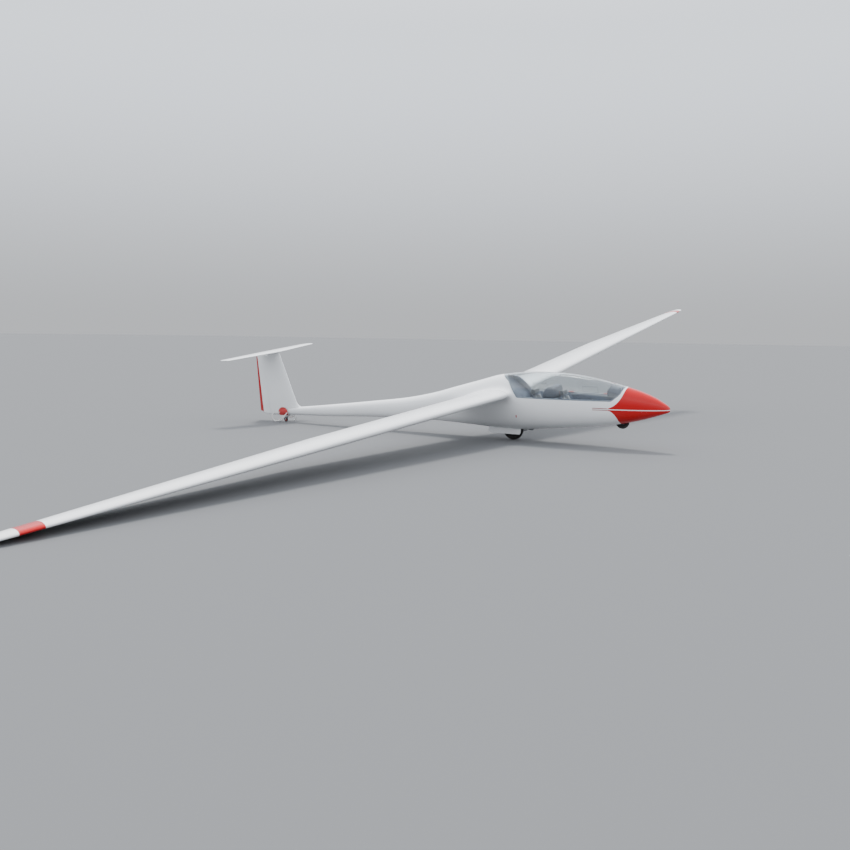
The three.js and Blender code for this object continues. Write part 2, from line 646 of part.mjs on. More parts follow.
// Wheels. A tyre's section is a rounded ring; a hub is a disc with a bore for its axle
function addWheel(name, { x, z, radius, width, rim, sides }, bore, hubMaterial) {
  const flank = rim + (radius - rim) * TYRE.flank;
  const ring = [new THREE.Vector2(rim, -width * TYRE.bead)];
  for (let i = 0; i <= TYRE.crown; i++) {
    const angle = (Math.PI * i) / TYRE.crown - Math.PI / 2;
    ring.push(new THREE.Vector2(flank + (radius - flank) * Math.cos(angle), (width / 2) * Math.sin(angle)));
  }
  ring.push(new THREE.Vector2(rim, width * TYRE.bead), ring[0].clone());
  const face = [[bore, HUB[0][1]], ...HUB.map(([r, share]) => [r * rim, share]), [rim - SEAM, HUB_RIM]];
  const disc = [...face.map(([r, share]) => [r, -share]), ...[...face].reverse(), [bore, -HUB[0][1]]]
    .map(([r, share]) => new THREE.Vector2(r, share * width));
  for (const [piece, profile, material] of [['tyre', ring, rubber], ['hub', disc, hubMaterial]]) {
    const geometry = new THREE.LatheGeometry(profile, sides);
    geometry.translate(x, 0, z);
    addPiece(`${name}_${piece}`, toSolid(geometry), material);
  }
}
addWheel('main_wheel', MAIN_WHEEL, AXLE_RADIUS + AXLE_PLAY, steel);
addWheel('nose_wheel', NOSE_WHEEL, AXLE_RADIUS + AXLE_PLAY, steel);
addWheel('dolly_wheel', DOLLY_WHEEL, DOLLY_AXLE + AXLE_PLAY, red);

// A frame carries a wheel on an axle between two arms that meet a cross tube
function wheelFrame({ x, z, width }, { pivot, gap, arm, thick }) {
  const near = width / 2 + gap;
  const far = near + thick;
  const crossTube = 0.45 * arm;
  const outline = [
    [x - arm / 2, z - arm / 2], [x + arm / 2, z - arm / 2],
    [pivot[0] + arm / 2, pivot[1]], [pivot[0] - arm / 2, pivot[1]],
  ];
  return union([
    rod([x, -far, z], [x, far, z], AXLE_RADIUS),
    rod([pivot[0], -far, pivot[1]], [pivot[0], far, pivot[1]], crossTube),
    ...[1, -1].map((side) => sidePrism(outline, ...across(side, near, far))),
  ]);
}
addPiece('main_gear_frame', wheelFrame(MAIN_WHEEL, MAIN_LEG), steel);
addPiece('nose_wheel_frame', wheelFrame(NOSE_WHEEL, NOSE_LEG).intersect(noseWell(-SEAM)), steel);

const grownHull = fuselageBody(-SEAM);
for (const [place, side] of [['left', 1], ['right', -1]]) {
  const geometry = new THREE.BoxGeometry(DOOR.front - DOOR.rear, DOOR.thick, DOOR.drop);
  geometry.translate((DOOR.front + DOOR.rear) / 2, 0, -DOOR.drop / 2);
  geometry.rotateX(side * rad(DOOR.splayDeg));
  geometry.translate(0, side * DOOR.y, DOOR.top);
  addPiece(`gear_door_${place}`, toSolid(geometry).subtract(grownHull), white);
}
const hook = box(
  [TOW_HOOK.x, -TOW_HOOK.halfWidth, TOW_HOOK.low],
  [TOW_HOOK.x + TOW_HOOK.length, TOW_HOOK.halfWidth, TOW_HOOK.high],
);
addPiece('tow_hook', hook.subtract(grownHull), steel);

// Tail dolly: felt and shell clamp round the boom and the foot of the fin
const tailGrown = (by) => fuselageBody(-by).add(finBody(by));
const padZone = (inset) => {
  const { x, z, halfLength, halfHeight } = DOLLY_PAD;
  const shape = new THREE.Shape();
  shape.absellipse(x, z, halfLength - inset, halfHeight - inset / 2, 0, Math.PI * 2);
  return sidePrism(shape.getPoints(24).slice(0, -1).map((p) => [p.x, p.y]));
};
const feltOutside = DOLLY_PAD.felt;
const shellOutside = feltOutside + DOLLY_PAD.shell;
addPiece('dolly_felt', tailGrown(feltOutside).subtract(tailGrown(SEAM)).intersect(padZone(0)), felt);
addPiece(
  'dolly_shell',
  tailGrown(shellOutside).subtract(tailGrown(feltOutside + SEAM)).intersect(padZone(DOLLY_PAD.border)),
  red,
);
const dollyFrame = union([
  ...[1, -1].flatMap((side) => {
    const stayOuter = STAY.outer.map((value, k) => (k === 1 ? side * value : value));
    return [
      tube(DOLLY_BOW.map(([x, y, z]) => [x, side * y, z]), DOLLY_TUBE.radius, DOLLY_TUBE.steps),
      rod(stayOuter, [CASTOR.x, side * STAY.innerY, STAY.innerZ], STAY.radius),
    ];
  }),
  tube(DOLLY_TOW, DOLLY_TUBE.radius, DOLLY_TUBE.steps / 2),
  rod([CASTOR.x, 0, CASTOR.plateLow], [CASTOR.x, 0, CASTOR.plateHigh], CASTOR.radius + 4, 20),
]);
addPiece('dolly_frame', dollyFrame.subtract(tailGrown(shellOutside + SEAM)), white);

const forkTop = CASTOR.crownHigh - 1;
const forkLow = DOLLY_WHEEL.z - FORK.foot;
const forkOutline = [
  [CASTOR.x - FORK.rear, forkTop], [CASTOR.x + FORK.front, forkTop],
  [DOLLY_WHEEL.x + FORK.foot, forkLow], [DOLLY_WHEEL.x - FORK.foot, forkLow],
];
const forkNear = DOLLY_WHEEL.width / 2 + FORK.gap;
const forkAxle = DOLLY_WHEEL.width / 2 + FORK.axleReach;
const fork = union([
  rod([CASTOR.x, 0, CASTOR.crownLow], [CASTOR.x, 0, CASTOR.crownHigh], CASTOR.radius, 20),
  ...[1, -1].map((side) => sidePrism(forkOutline, ...across(side, forkNear, forkNear + FORK.thick))),
  rod([DOLLY_WHEEL.x, -forkAxle, DOLLY_WHEEL.z], [DOLLY_WHEEL.x, forkAxle, DOLLY_WHEEL.z], DOLLY_AXLE),
]);
addPiece('dolly_fork', fork, steel);

// Roll onto the right tip, turn to station axes, and stand the glider on the ground with its box centred
const glider = new THREE.Group();
parked.rotation.set(rad(ROLL_DEG), 0, Math.PI, 'ZYX');
glider.add(parked);
glider.updateMatrixWorld(true);
const bounds = new THREE.Box3().setFromObject(glider, true);
parked.position.set(-(bounds.min.x + bounds.max.x) / 2, -(bounds.min.y + bounds.max.y) / 2, -bounds.min.z);
glider.updateMatrixWorld(true);
export default glider;
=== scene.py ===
import json
import math

import bmesh
import bpy
import numpy as np
from mathutils import Matrix, Vector
from mathutils.bvhtree import BVHTree
from mathutils.interpolate import poly_3d_calc


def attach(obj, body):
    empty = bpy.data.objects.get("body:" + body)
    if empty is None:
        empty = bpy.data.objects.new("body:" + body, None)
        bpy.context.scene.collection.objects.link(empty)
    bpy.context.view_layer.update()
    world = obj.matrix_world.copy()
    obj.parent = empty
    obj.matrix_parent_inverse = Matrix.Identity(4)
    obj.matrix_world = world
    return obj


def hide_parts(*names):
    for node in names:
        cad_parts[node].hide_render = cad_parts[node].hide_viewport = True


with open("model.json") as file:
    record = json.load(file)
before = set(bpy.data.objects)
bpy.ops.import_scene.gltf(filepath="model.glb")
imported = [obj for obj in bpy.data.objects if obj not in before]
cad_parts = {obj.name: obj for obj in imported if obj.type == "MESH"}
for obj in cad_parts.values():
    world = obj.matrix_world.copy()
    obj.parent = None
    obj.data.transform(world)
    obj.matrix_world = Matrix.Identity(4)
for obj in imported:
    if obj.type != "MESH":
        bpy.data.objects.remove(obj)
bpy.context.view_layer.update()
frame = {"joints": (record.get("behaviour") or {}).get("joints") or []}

# Camera. It stands where the photograph was taken: ahead of the right wing tip, about as high
# as a tall person's eyes, with the nose pointing to the right of the picture.
CAMERA_PLACE = Vector((-8.488, 14.260, 1.792))
CAMERA_YAW, CAMERA_PITCH, CAMERA_TILT = (math.radians(a) for a in (211.35, -5.60, 0.83))
FILM_WIDTH, LENS, SIGHT = 36, 38.58, 1000
camera = bpy.data.objects.new("camera", bpy.data.cameras.new("camera"))
camera.data.sensor_width, camera.data.lens, camera.data.clip_end = FILM_WIDTH, LENS, SIGHT
camera.matrix_world = (
    Matrix.Translation(CAMERA_PLACE)
    @ Matrix.Rotation(CAMERA_YAW, 4, "Z")
    @ Matrix.Rotation(CAMERA_PITCH + math.pi / 2, 4, "X")
    @ Matrix.Rotation(CAMERA_TILT, 4, "Z")
)
bpy.context.scene.collection.objects.link(camera)
bpy.context.scene.camera = camera


# Studio. A plain matt floor runs out to a pale wall of light, which is brightest in a wide band
# overhead, so that the gelcoat has something to reflect; one high soft lamp stands for the sun.
def link_piece(name, data, *materials):
    piece = bpy.data.objects.new(name, data)
    bpy.context.scene.collection.objects.link(piece)
    for material in materials:
        data.materials.append(material)
    return piece


def plain_material(name, color, roughness, metallic=0.0):
    material = bpy.data.materials.new(name)
    material.use_nodes = True
    shader = material.node_tree.nodes["Principled BSDF"]
    shader.inputs["Base Color"].default_value = (*color, 1)
    shader.inputs["Roughness"].default_value = roughness
    shader.inputs["Metallic"].default_value = metallic
    return material


FLOOR_REACH = 400
FLOOR_CORNERS = ((-1, -1), (1, -1), (1, 1), (-1, 1))
floor_mesh = bpy.data.meshes.new("floor")
floor_mesh.from_pydata([(x * FLOOR_REACH, y * FLOOR_REACH, 0) for x, y in FLOOR_CORNERS], [], [(0, 1, 2, 3)])
floor = link_piece("floor", floor_mesh, plain_material("floor_paint", (0.135, 0.138, 0.142), 0.9))

# Columns: height of the direction, colour
SKY = (
    (0.0, (0.295, 0.303, 0.315)), (0.30, (0.62, 0.66, 0.72)),
    (0.50, (1.25, 1.28, 1.32)), (0.80, (0.85, 0.90, 0.98)),
)
SKY_STRENGTH = 2.1
world = bpy.data.worlds.new("studio")
world.use_nodes = True
sky_nodes, sky_links = world.node_tree.nodes, world.node_tree.links
sky = sky_nodes["Background"]
kinds = ("TexCoord", "SeparateXYZ", "ValToRGB")
direction, height, fade = (sky_nodes.new(f"ShaderNode{kind}") for kind in kinds)
while len(fade.color_ramp.elements) < len(SKY):
    fade.color_ramp.elements.new(0.5)
for stop, (position, color) in zip(fade.color_ramp.elements, SKY):
    stop.position, stop.color = position, (*color, 1)
fade.color_ramp.interpolation = "EASE"
sky_links.new(direction.outputs["Generated"], height.inputs[0])
sky_links.new(height.outputs["Z"], fade.inputs[0])
sky_links.new(fade.outputs[0], sky.inputs["Color"])
sky.inputs["Strength"].default_value = SKY_STRENGTH
bpy.context.scene.world = world

SUN_PLACE, SUN_STRENGTH, SUN_WIDTH = Vector((6, -9, 20)), 4.8, math.radians(12)
sun_light = bpy.data.lights.new("soft_sun", "SUN")
sun_light.energy, sun_light.angle, sun_light.color = SUN_STRENGTH, SUN_WIDTH, (1, 0.98, 0.95)
sun = link_piece("soft_sun", sun_light)
sun.location = SUN_PLACE
sun.rotation_euler = (-SUN_PLACE).to_track_quat("-Z", "Y").to_euler()
sun.visible_glossy = False


# Gelcoat and paint. The whole airframe is glass fibre under a thick white gelcoat, sanded and
# polished; the red nose, tip bands and rudder edge are sprayed over it. Both grow a thin uneven
# film of dust, a little deeper low down. Every piece is modelled in the glider's own axes, in
# metres: x to the nose, y to the left wing, z up from where the main wheel meets the ground.
joints = {joint["name"]: joint for joint in frame["joints"]}
MAIN_WHEEL_RADIUS = 0.189
left = Vector(joints["main_wheel_spin"]["axis"])
forward = left.cross(Vector((0, 0, 1))).normalized()
parked = (
    Matrix.Translation(joints["main_wheel_spin"]["pos_m"])
    @ Matrix((forward, left, forward.cross(left))).transposed().to_4x4()
    @ Matrix.Translation((0, 0, -MAIN_WHEEL_RADIUS))
)


def new_group(name, inputs, outputs):
    """An empty shader group. Inputs: name, kind, value. Outputs: name, kind."""
    group = bpy.data.node_groups.new(name, "ShaderNodeTree")
    for label, kind, value in inputs:
        socket = group.interface.new_socket(label, in_out="INPUT", socket_type=f"NodeSocket{kind}")
        if value is not None:
            socket.default_value = value
    for label, kind in outputs:
        group.interface.new_socket(label, in_out="OUTPUT", socket_type=f"NodeSocket{kind}")
    return group, group.nodes.new("NodeGroupInput"), group.nodes.new("NodeGroupOutput")


def fed(tree, node, feeds):
    """A node with its inputs fed by sockets or given values: (input, source)"""
    for socket, source in feeds:
        if isinstance(source, bpy.types.NodeSocket):
            tree.links.new(source, node.inputs[socket])
        else:
            node.inputs[socket].default_value = source
    return node


def add_node(tree, kind, feeds=(), **settings):
    node = tree.nodes.new(f"ShaderNode{kind}")
    for key, value in settings.items():
        setattr(node, key, value)
    return fed(tree, node, feeds)


def shade(tree, *feeds):
    """Feeds the material's own shader"""
    fed(tree, tree.nodes["Principled BSDF"], feeds)


def calc(tree, operation, *values, clamp=False):
    return add_node(tree, "Math", list(enumerate(values)), operation=operation, use_clamp=clamp).outputs[0]


def noise(tree, vector, scale, detail=3.0, roughness=0.5):
    return add_node(
        tree, "TexNoise", [("Vector", vector), ("Scale", scale), ("Detail", detail), ("Roughness", roughness)]
    ).outputs["Fac"]


def remap(tree, value, low, high, to_low=0.0, to_high=1.0):
    return add_node(
        tree, "MapRange",
        [("Value", value), ("From Min", low), ("From Max", high), ("To Min", to_low), ("To Max", to_high)],
    ).outputs["Result"]


def tinted(tree, share, first, second):
    feeds = [(0, share), (6, first), (7, second)]
    return add_node(tree, "Mix", feeds, data_type="RGBA").outputs[2]


def own_axes(tree):
    """Object coordinates turned into the glider's own axes, however it leans"""
    back = parked.inverted()
    return add_node(
        tree, "Mapping",
        [("Vector", add_node(tree, "TexCoord").outputs["Object"]), ("Location", back.to_translation()),
         ("Rotation", back.to_euler())],
    ).outputs["Vector"]


def bumped(tree, height, distance, strength=1.0):
    """Sends a height to the material's normal"""
    bump = add_node(tree, "Bump", [("Height", height), ("Strength", strength), ("Distance", distance)])
    shade(tree, ("Normal", bump.outputs[0]))


polished_coat, inside, outside = new_group(
    "polished_coat",
    [("Vector", "Vector", None), ("Colour", "Color", (0.8, 0.8, 0.8, 1)), ("Dust", "Float", 0.1)],
    [("Colour", "Color"), ("Roughness", "Float"), ("Height", "Float")],
)
DUST_TOP, DUST_FULL, DUST_COLOR = 0.75, 0.1, (0.30, 0.27, 0.23, 1)
tree, place = polished_coat, inside.outputs["Vector"]
low_down = remap(tree, add_node(tree, "SeparateXYZ", [(0, place)]).outputs["Z"], DUST_TOP, DUST_FULL)
clouds = noise(tree, place, scale=1.7, detail=5.0, roughness=0.6)
specks = remap(tree, noise(tree, place, scale=55.0, detail=4.0, roughness=0.7), low=0.52, high=0.78)
film = calc(tree, "MULTIPLY_ADD", clouds, 0.35, calc(tree, "MULTIPLY", clouds, low_down))
film = calc(tree, "MULTIPLY_ADD", film, specks, film)
film = calc(tree, "MULTIPLY", film, inside.outputs["Dust"], clamp=True)
swirls = noise(tree, place, scale=9.0, detail=6.0, roughness=0.65)
polish = remap(tree, swirls, low=0.3, high=0.7, to_low=0.12, to_high=0.22)
fed(tree, outside, [
    ("Colour", tinted(tree, film, inside.outputs["Colour"], DUST_COLOR)),
    ("Roughness", calc(tree, "MULTIPLY_ADD", film, 0.8, polish)),
    ("Height", noise(tree, place, scale=3.2, detail=2.0)),
])

WHITE = (0.86, 0.87, 0.88)
RED = (0.48, 0.0, 0.004, 1)


def coat_material(name, paint=None, dust=0.16, color=WHITE):
    """Polished gelcoat. paint(tree, x, y, z, white) returns the colour where more than white is sprayed"""
    material = plain_material(name, color, 0.2)
    tree = material.node_tree
    place, under = own_axes(tree), (*color, 1)
    feeds = [("Vector", place), ("Colour", under), ("Dust", dust)]
    coat = add_node(tree, "Group", feeds, node_tree=polished_coat)
    if paint:
        axes = add_node(tree, "SeparateXYZ", [(0, place)])
        fed(tree, coat, [("Colour", paint(tree, *axes.outputs, under))])
    shade(tree, ("Base Color", coat.outputs["Colour"]), ("Roughness", coat.outputs["Roughness"]),
          ("Specular IOR Level", 0.2), ("Coat Weight", 0.08), ("Coat Roughness", 0.05))
    bumped(tree, coat.outputs["Height"], 0.004, 0.5)
    return material


# Rear edge of the red nose. Columns: height, x
NOSE_APEX = (0.687, 1.785)
NOSE_EDGE = [
    (0.40, 2.008), (0.459, 1.996), (0.565, 1.960), (0.640, 1.896), (0.672, 1.825), NOSE_APEX,
    (0.703, 1.840), (0.762, 1.950), (0.840, 2.020), (0.905, 2.055), (1.018, 2.088), (1.06, 2.095),
]
NOSE_EDGE_REACH = (1.7, 2.1)
# The white line along the red, from its rear end to the tip: x, height
NOSE_LINE, NOSE_LINE_HALF = ((1.746, 0.687), (2.775, 0.678)), 0.0065
# Two thin trails run on behind the red. Middle and half width, off the white line and along x
TRAIL_OFF, TRAIL_ALONG, TRAIL_COLOR = (0.0135, 0.0062), (1.705, 0.120), (0.30, 0.075, 0.07, 1)
# A small red mark on the right side. Middle and half width, along x and in height
MARK_ALONG, MARK_HEIGHT = (0.22, 0.009), (0.49, 0.022)


def nose_paint(tree, x, y, z, white):
    low, high, (near, far) = NOSE_EDGE[0][0], NOSE_EDGE[-1][0], NOSE_EDGE_REACH
    edge = add_node(tree, "FloatCurve", [("Value", remap(tree, z, low, high))])
    curve = edge.mapping.curves[0]
    for _ in range(len(NOSE_EDGE) - 2):
        curve.points.new(0.5, 0.5)
    for point, (height, back) in zip(curve.points, NOSE_EDGE):
        point.location = ((height - low) / (high - low), (back - near) / (far - near))
        point.handle_type = "AUTO_CLAMPED"
    curve.points[NOSE_EDGE.index(NOSE_APEX)].handle_type = "VECTOR"
    edge.mapping.update()
    red = calc(tree, "GREATER_THAN", x, remap(tree, edge.outputs[0], 0, 1, near, far))
    (rear_x, rear_z), (tip_x, tip_z) = NOSE_LINE
    off_line = calc(tree, "ABSOLUTE", calc(tree, "SUBTRACT", z, remap(tree, x, rear_x, tip_x, rear_z, tip_z)))
    red = calc(tree, "MULTIPLY", red, calc(tree, "GREATER_THAN", off_line, NOSE_LINE_HALF))
    trail, behind = calc(tree, "COMPARE", off_line, *TRAIL_OFF), calc(tree, "COMPARE", x, *TRAIL_ALONG)
    trails = tinted(tree, calc(tree, "MULTIPLY", trail, behind), white, TRAIL_COLOR)
    along, high_up = calc(tree, "COMPARE", x, *MARK_ALONG), calc(tree, "COMPARE", z, *MARK_HEIGHT)
    mark = calc(tree, "MULTIPLY", calc(tree, "MULTIPLY", along, high_up), calc(tree, "LESS_THAN", y, 0))
    return tinted(tree, mark, tinted(tree, red, trails, RED), RED)


gelcoat = coat_material("white_gelcoat")
nose_gelcoat = coat_material("painted_gelcoat", nose_paint)
wall_paint = plain_material("cockpit_wall_paint", (0.22, 0.24, 0.28), 0.62)
well_paint = plain_material("wheel_well_paint", (0.33, 0.34, 0.35), 0.7)


# Fuselage. Two moulded glass-fibre half shells are bonded along the middle, with the fin and the
# stubs of the wing roots in one piece with them; all corners where they meet are rounded out.
# Columns: x, top, bottom, half width, height of the widest line
HULL = np.array([
    [2.775, 0.678, 0.678, 0.000, 0.678],
    [2.757, 0.722, 0.638, 0.040, 0.678],
    [2.680, 0.780, 0.606, 0.082, 0.679],
    [2.540, 0.860, 0.558, 0.136, 0.680],
    [2.300, 0.955, 0.484, 0.200, 0.682],
    [2.050, 1.026, 0.422, 0.247, 0.684],
    [1.750, 1.098, 0.367, 0.289, 0.690],
    [1.400, 1.165, 0.318, 0.322, 0.700],
    [1.000, 1.208, 0.277, 0.343, 0.705],
    [0.600, 1.218, 0.241, 0.350, 0.705],
    [0.200, 1.201, 0.206, 0.345, 0.700],
    [-0.200, 1.148, 0.203, 0.322, 0.690],
    [-0.600, 1.040, 0.218, 0.285, 0.660],
    [-1.100, 0.902, 0.240, 0.240, 0.600],
    [-1.600, 0.762, 0.254, 0.200, 0.530],
    [-2.200, 0.640, 0.250, 0.165, 0.450],
    [-3.030, 0.530, 0.228, 0.135, 0.382],
    [-4.000, 0.411, 0.180, 0.105, 0.298],
    [-4.800, 0.324, 0.158, 0.080, 0.242],
    [-5.484, 0.268, 0.144, 0.034, 0.204],
])
UPPER_ROUND, LOWER_ROUND = 2.1, 2.3
WALL = 0.018
SHUT = 0.002  # shut lines
SNUG = 0.0006  # joints that are bolted up
ROOT_JOINT = 0.430


def eased(xs, rows, at):
    """Values of a smooth curve through rows of numbers that never overshoots them"""
    step = np.diff(xs)[:, None]
    slope = np.diff(rows, axis=0) / step
    tangent = np.zeros_like(rows)
    inner, outer = slope[:-1], slope[1:]
    near, far = 2 * step[1:] + step[:-1], step[1:] + 2 * step[:-1]
    same = inner * outer > 0
    safe = np.where(same, near / np.where(same, inner, 1) + far / np.where(same, outer, 1), 1)
    tangent[1:-1] = np.where(same, (near + far) / safe, 0)
    tangent[0], tangent[-1] = slope[0], slope[-1]
    at = np.asarray(at, float)
    k = np.clip(np.searchsorted(xs, at, side="right") - 1, 0, len(xs) - 2)
    t = ((at - xs[k]) / (xs[k + 1] - xs[k]))[:, None]
    return (
        (1 + 2 * t) * (1 - t) ** 2 * rows[k] + t * (1 - t) ** 2 * step[k] * tangent[k]
        + t**2 * (3 - 2 * t) * rows[k + 1] + t**2 * (t - 1) * step[k] * tangent[k + 1]
    )


def hull_at(xs):
    """Top, bottom, half width and widest height of the hull at any x, with a round nose"""
    pull = np.sqrt(np.maximum(HULL[0, 0] - HULL[:, 0], 0))
    return eased(pull, HULL[:, 1:], np.sqrt(np.maximum(HULL[0, 0] - np.asarray(xs, float), 0)))


def hull_rings(xs, depth=0.0, sides=112):
    top, bottom, half, widest = (hull_at(xs)[:, k, None] for k in range(4))
    angle = (np.arange(sides) + 0.5) / sides * 2 * math.pi
    up, out = np.cos(angle)[None], np.sin(angle)[None]
    power = 2 / np.where(up > 0, UPPER_ROUND, LOWER_ROUND)
    rise = np.where(up > 0, top - widest - depth, widest - bottom - depth)
    y = np.sign(out) * np.abs(out) ** power * (half - depth)
    z = widest + np.sign(up) * np.abs(up) ** power * rise
    return np.stack([np.broadcast_to(np.asarray(xs, float)[:, None], y.shape), y, z], axis=2)


def hull_half_width(x, z):
    """How far the hull's side is from the middle at a height; 0 above and below it"""
    top, bottom, half, widest = hull_at(np.ravel(x)).T
    z = np.ravel(z)
    share = np.where(z > widest, (z - widest) / np.maximum(top - widest, 1e-6),
                     (widest - z) / np.maximum(widest - bottom, 1e-6))
    power = np.where(z > widest, UPPER_ROUND, LOWER_ROUND)
    return half * np.maximum(0, 1 - np.minimum(share, 1) ** power) ** (1 / power)


def body_mesh(name, points, faces):
    """A body with its faces turned outwards"""
    mesh = bpy.data.meshes.new(name)
    mesh.from_pydata(np.asarray(points, float).tolist(), [], faces)
    turn = bmesh.new()
    turn.from_mesh(mesh)
    bmesh.ops.remove_doubles(turn, verts=turn.verts, dist=1e-6)
    bmesh.ops.recalc_face_normals(turn, faces=turn.faces)
    turn.to_mesh(mesh)
    turn.free()
    mesh.shade_smooth()
    return link_piece(name, mesh)


def loft(name, rings, closed=True):
    """A body through rings of points, flat at both ends"""
    rings = np.asarray(rings, float)
    rows, count = rings.shape[:2]
    around = count if closed else count - 1
    faces = [
        (r * count + i, r * count + (i + 1) % count, (r + 1) * count + (i + 1) % count, (r + 1) * count + i)
        for r in range(rows - 1) for i in range(around)
    ]
    if closed:
        faces.append(tuple(range(count)))
        faces.append(tuple(range((rows - 1) * count, rows * count)))
    return body_mesh(name, rings.reshape(-1, 3), faces)


def side_prism(outline, y0=-0.6, y1=0.6):
    """A side-view outline in x and z, pushed from one y to the other"""
    return loft("cutter", [[(x, y, z) for x, z in outline] for y in (y0, y1)])


def plan_prism(outline, z0, z1):
    return loft("cutter", [[(x, y, z) for x, y in outline] for z in (z0, z1)])


def block(low, high):
    (x0, y0, z0), (x1, y1, z1) = low, high
    return side_prism([(x0, z0), (x1, z0), (x1, z1), (x0, z1)], y0, y1)


def cone(start, end, radius_start, radius_end, sides=48):
    along = (Vector(end) - Vector(start)).normalized()
    across = along.orthogonal().normalized()
    other = along.cross(across)
    turns = [i / sides * 2 * math.pi for i in range(sides)]
    return loft("cutter", [
        [Vector(at) + float(radius) * (math.cos(a) * across + math.sin(a) * other) for a in turns]
        for at, radius in ((start, radius_start), (end, radius_end))
    ])


def copy_of(piece):
    return link_piece(piece.name, piece.data.copy())


def discard(*pieces):
    for piece in pieces:
        bpy.data.objects.remove(piece)


def baked(piece):
    """Makes a piece's modifiers part of its mesh"""
    mesh = bpy.data.meshes.new_from_object(piece.evaluated_get(bpy.context.evaluated_depsgraph_get()))
    piece.modifiers.clear()
    piece.data = mesh
    return piece


def carve(piece, tool, operation="DIFFERENCE", keep_tool=False):
    """Cuts, joins or crosses a body with a tool, which is used up"""
    cut = piece.modifiers.new("cut", "BOOLEAN")
    cut.object = tool
    cut.operation = operation
    cut.solver = "MANIFOLD"
    baked(piece)
    if not keep_tool:
        discard(tool)
    return piece


def offset_chain(chain, distance):
    """An open side-view chain moved to its left by a positive distance"""
    points = [Vector(p) for p in chain]
    moved = []
    for i, point in enumerate(points):
        sides = [b - a for a, b in zip(points[max(i - 1, 0):i + 1], points[max(i - 1, 0) + 1:i + 2])]
        normals = [Vector((-side.y, side.x)).normalized() for side in sides]
        bisector = sum(normals, Vector((0, 0))).normalized()
        moved.append(tuple(point + bisector * distance / bisector.dot(normals[0])))
    return moved


def smooth_chain(points, steps):
    """A smooth line through points, in any number of coordinates"""
    points = np.array(points, float)
    length = np.concatenate([[0], np.cumsum(np.linalg.norm(np.diff(points, axis=0), axis=1))])
    return eased(length, points, np.linspace(0, length[-1], steps))


SKIN_TOUCH, SAME_WAY = 1e-3, 0.9  # how near and how alike a cut face lies to the body it comes from


def shade_like(piece, wholes):
    """Shades a cut body as smoothly as the bodies it was cut from. Columns: body, material or None"""
    mesh = piece.data
    sources = [(tree_of(whole), whole.data, material) for whole, material in wholes]
    slots = {material.name: k for k, material in enumerate(mesh.materials) if material}
    known = {}
    normals = [None] * len(mesh.loops)
    for polygon in mesh.polygons:
        best = None
        for k, (tree, _, _) in enumerate(sources):
            hit, normal, _, distance = tree.find_nearest(polygon.center, SKIN_TOUCH)
            if hit and abs(normal.dot(polygon.normal)) > SAME_WAY and (not best or distance < best[0]):
                best = (distance, k)
        if not best:
            for loop in polygon.loop_indices:
                normals[loop] = polygon.normal[:]
            continue
        tree, shape, material = sources[best[1]]
        if material:
            if material.name not in slots:
                slots[material.name] = len(mesh.materials)
                mesh.materials.append(material)
            polygon.material_index = slots[material.name]
        for loop in polygon.loop_indices:
            corner = mesh.loops[loop].vertex_index
            key = (best[1], corner)
            if key not in known:
                hit, _, face, _ = tree.find_nearest(mesh.vertices[corner].co)
                around = shape.polygons[face].vertices
                weights = poly_3d_calc([shape.vertices[v].co for v in around], hit)
                mean = sum((shape.vertices[v].normal * w for v, w in zip(around, weights)), Vector())
                known[key] = mean.normalized()
            normal = known[key]
            normals[loop] = (normal if normal.dot(polygon.normal) > 0 else -normal)[:]
    mesh.shade_smooth()
    mesh.normals_split_custom_set(normals)


def settle(piece, name, slot, material, nodes=(), like=(), body="airframe", pose=Matrix.Identity(4)):
    """Stands a piece modelled in the glider's own axes where it is parked, on its CAD body"""
    piece.name = piece.data.name = name
    if material:
        piece.data.materials.clear()
        piece.data.materials.append(material)
    if like:
        shade_like(piece, like)
    piece.data.transform(parked @ pose)
    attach(piece, body)
    if nodes:
        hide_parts(*nodes)


def corner_round(radius, distance):
    """How far a rounded inner corner stands off one surface, at a distance from the other"""
    away = np.clip(distance, 0, radius)
    return radius - np.sqrt(radius**2 - (radius - away) ** 2)


def foil(chord, ratio, camber=0.0, points=44, edge=0.003):
    """Aerofoil outline from the upper trailing edge round the nose to the lower one, as far behind
    the leading edge and above the chord"""
    s = (1 + np.cos(np.pi * np.arange(points + 1) / points)) / 2
    bulge = 0.2969 * np.sqrt(s) - 0.126 * s - 0.3516 * s**2 + 0.2843 * s**3 - 0.1036 * s**4
    thick = 5 * ratio * bulge * chord
    mean = camber * (1 - (2 * s - 1) ** 2) * chord
    upper = np.stack([s * chord, mean + thick + s * edge / 2], axis=1)
    lower = np.stack([s * chord, mean - thick - s * edge / 2], axis=1)
    return np.concatenate([upper, lower[::-1][1:]])


def half_thick(chord, ratio, behind):
    """Half thickness of a section at a distance behind its leading edge"""
    s, h = foil(chord, ratio)[44::-1].T
    return float(np.interp(behind, s, h))


# Wing sections. Columns: y, chord, thickness over chord, leading edge set back
WING = np.array([
    [0.000, 1.148, 0.170, 0.000],
    [0.350, 1.136, 0.170, 0.000],
    [5.110, 0.971, 0.165, 0.000],
    [9.300, 0.462, 0.150, 0.000],
    [9.780, 0.398, 0.150, 0.004],
    [9.940, 0.318, 0.140, 0.034],
    [10.000, 0.190, 0.120, 0.092],
])
WING_LE = (0.141, 0.864, 0.350)  # x and z of the leading edge, at this y
DIHEDRAL, WING_SET, CAMBER = math.radians(2.74), math.radians(9.55), 0.035


def row_at(table, at):
    """The columns after the first of a table, at a value of the first"""
    return [np.interp(at, table[:, 0], column) for column in table[:, 1:].T]


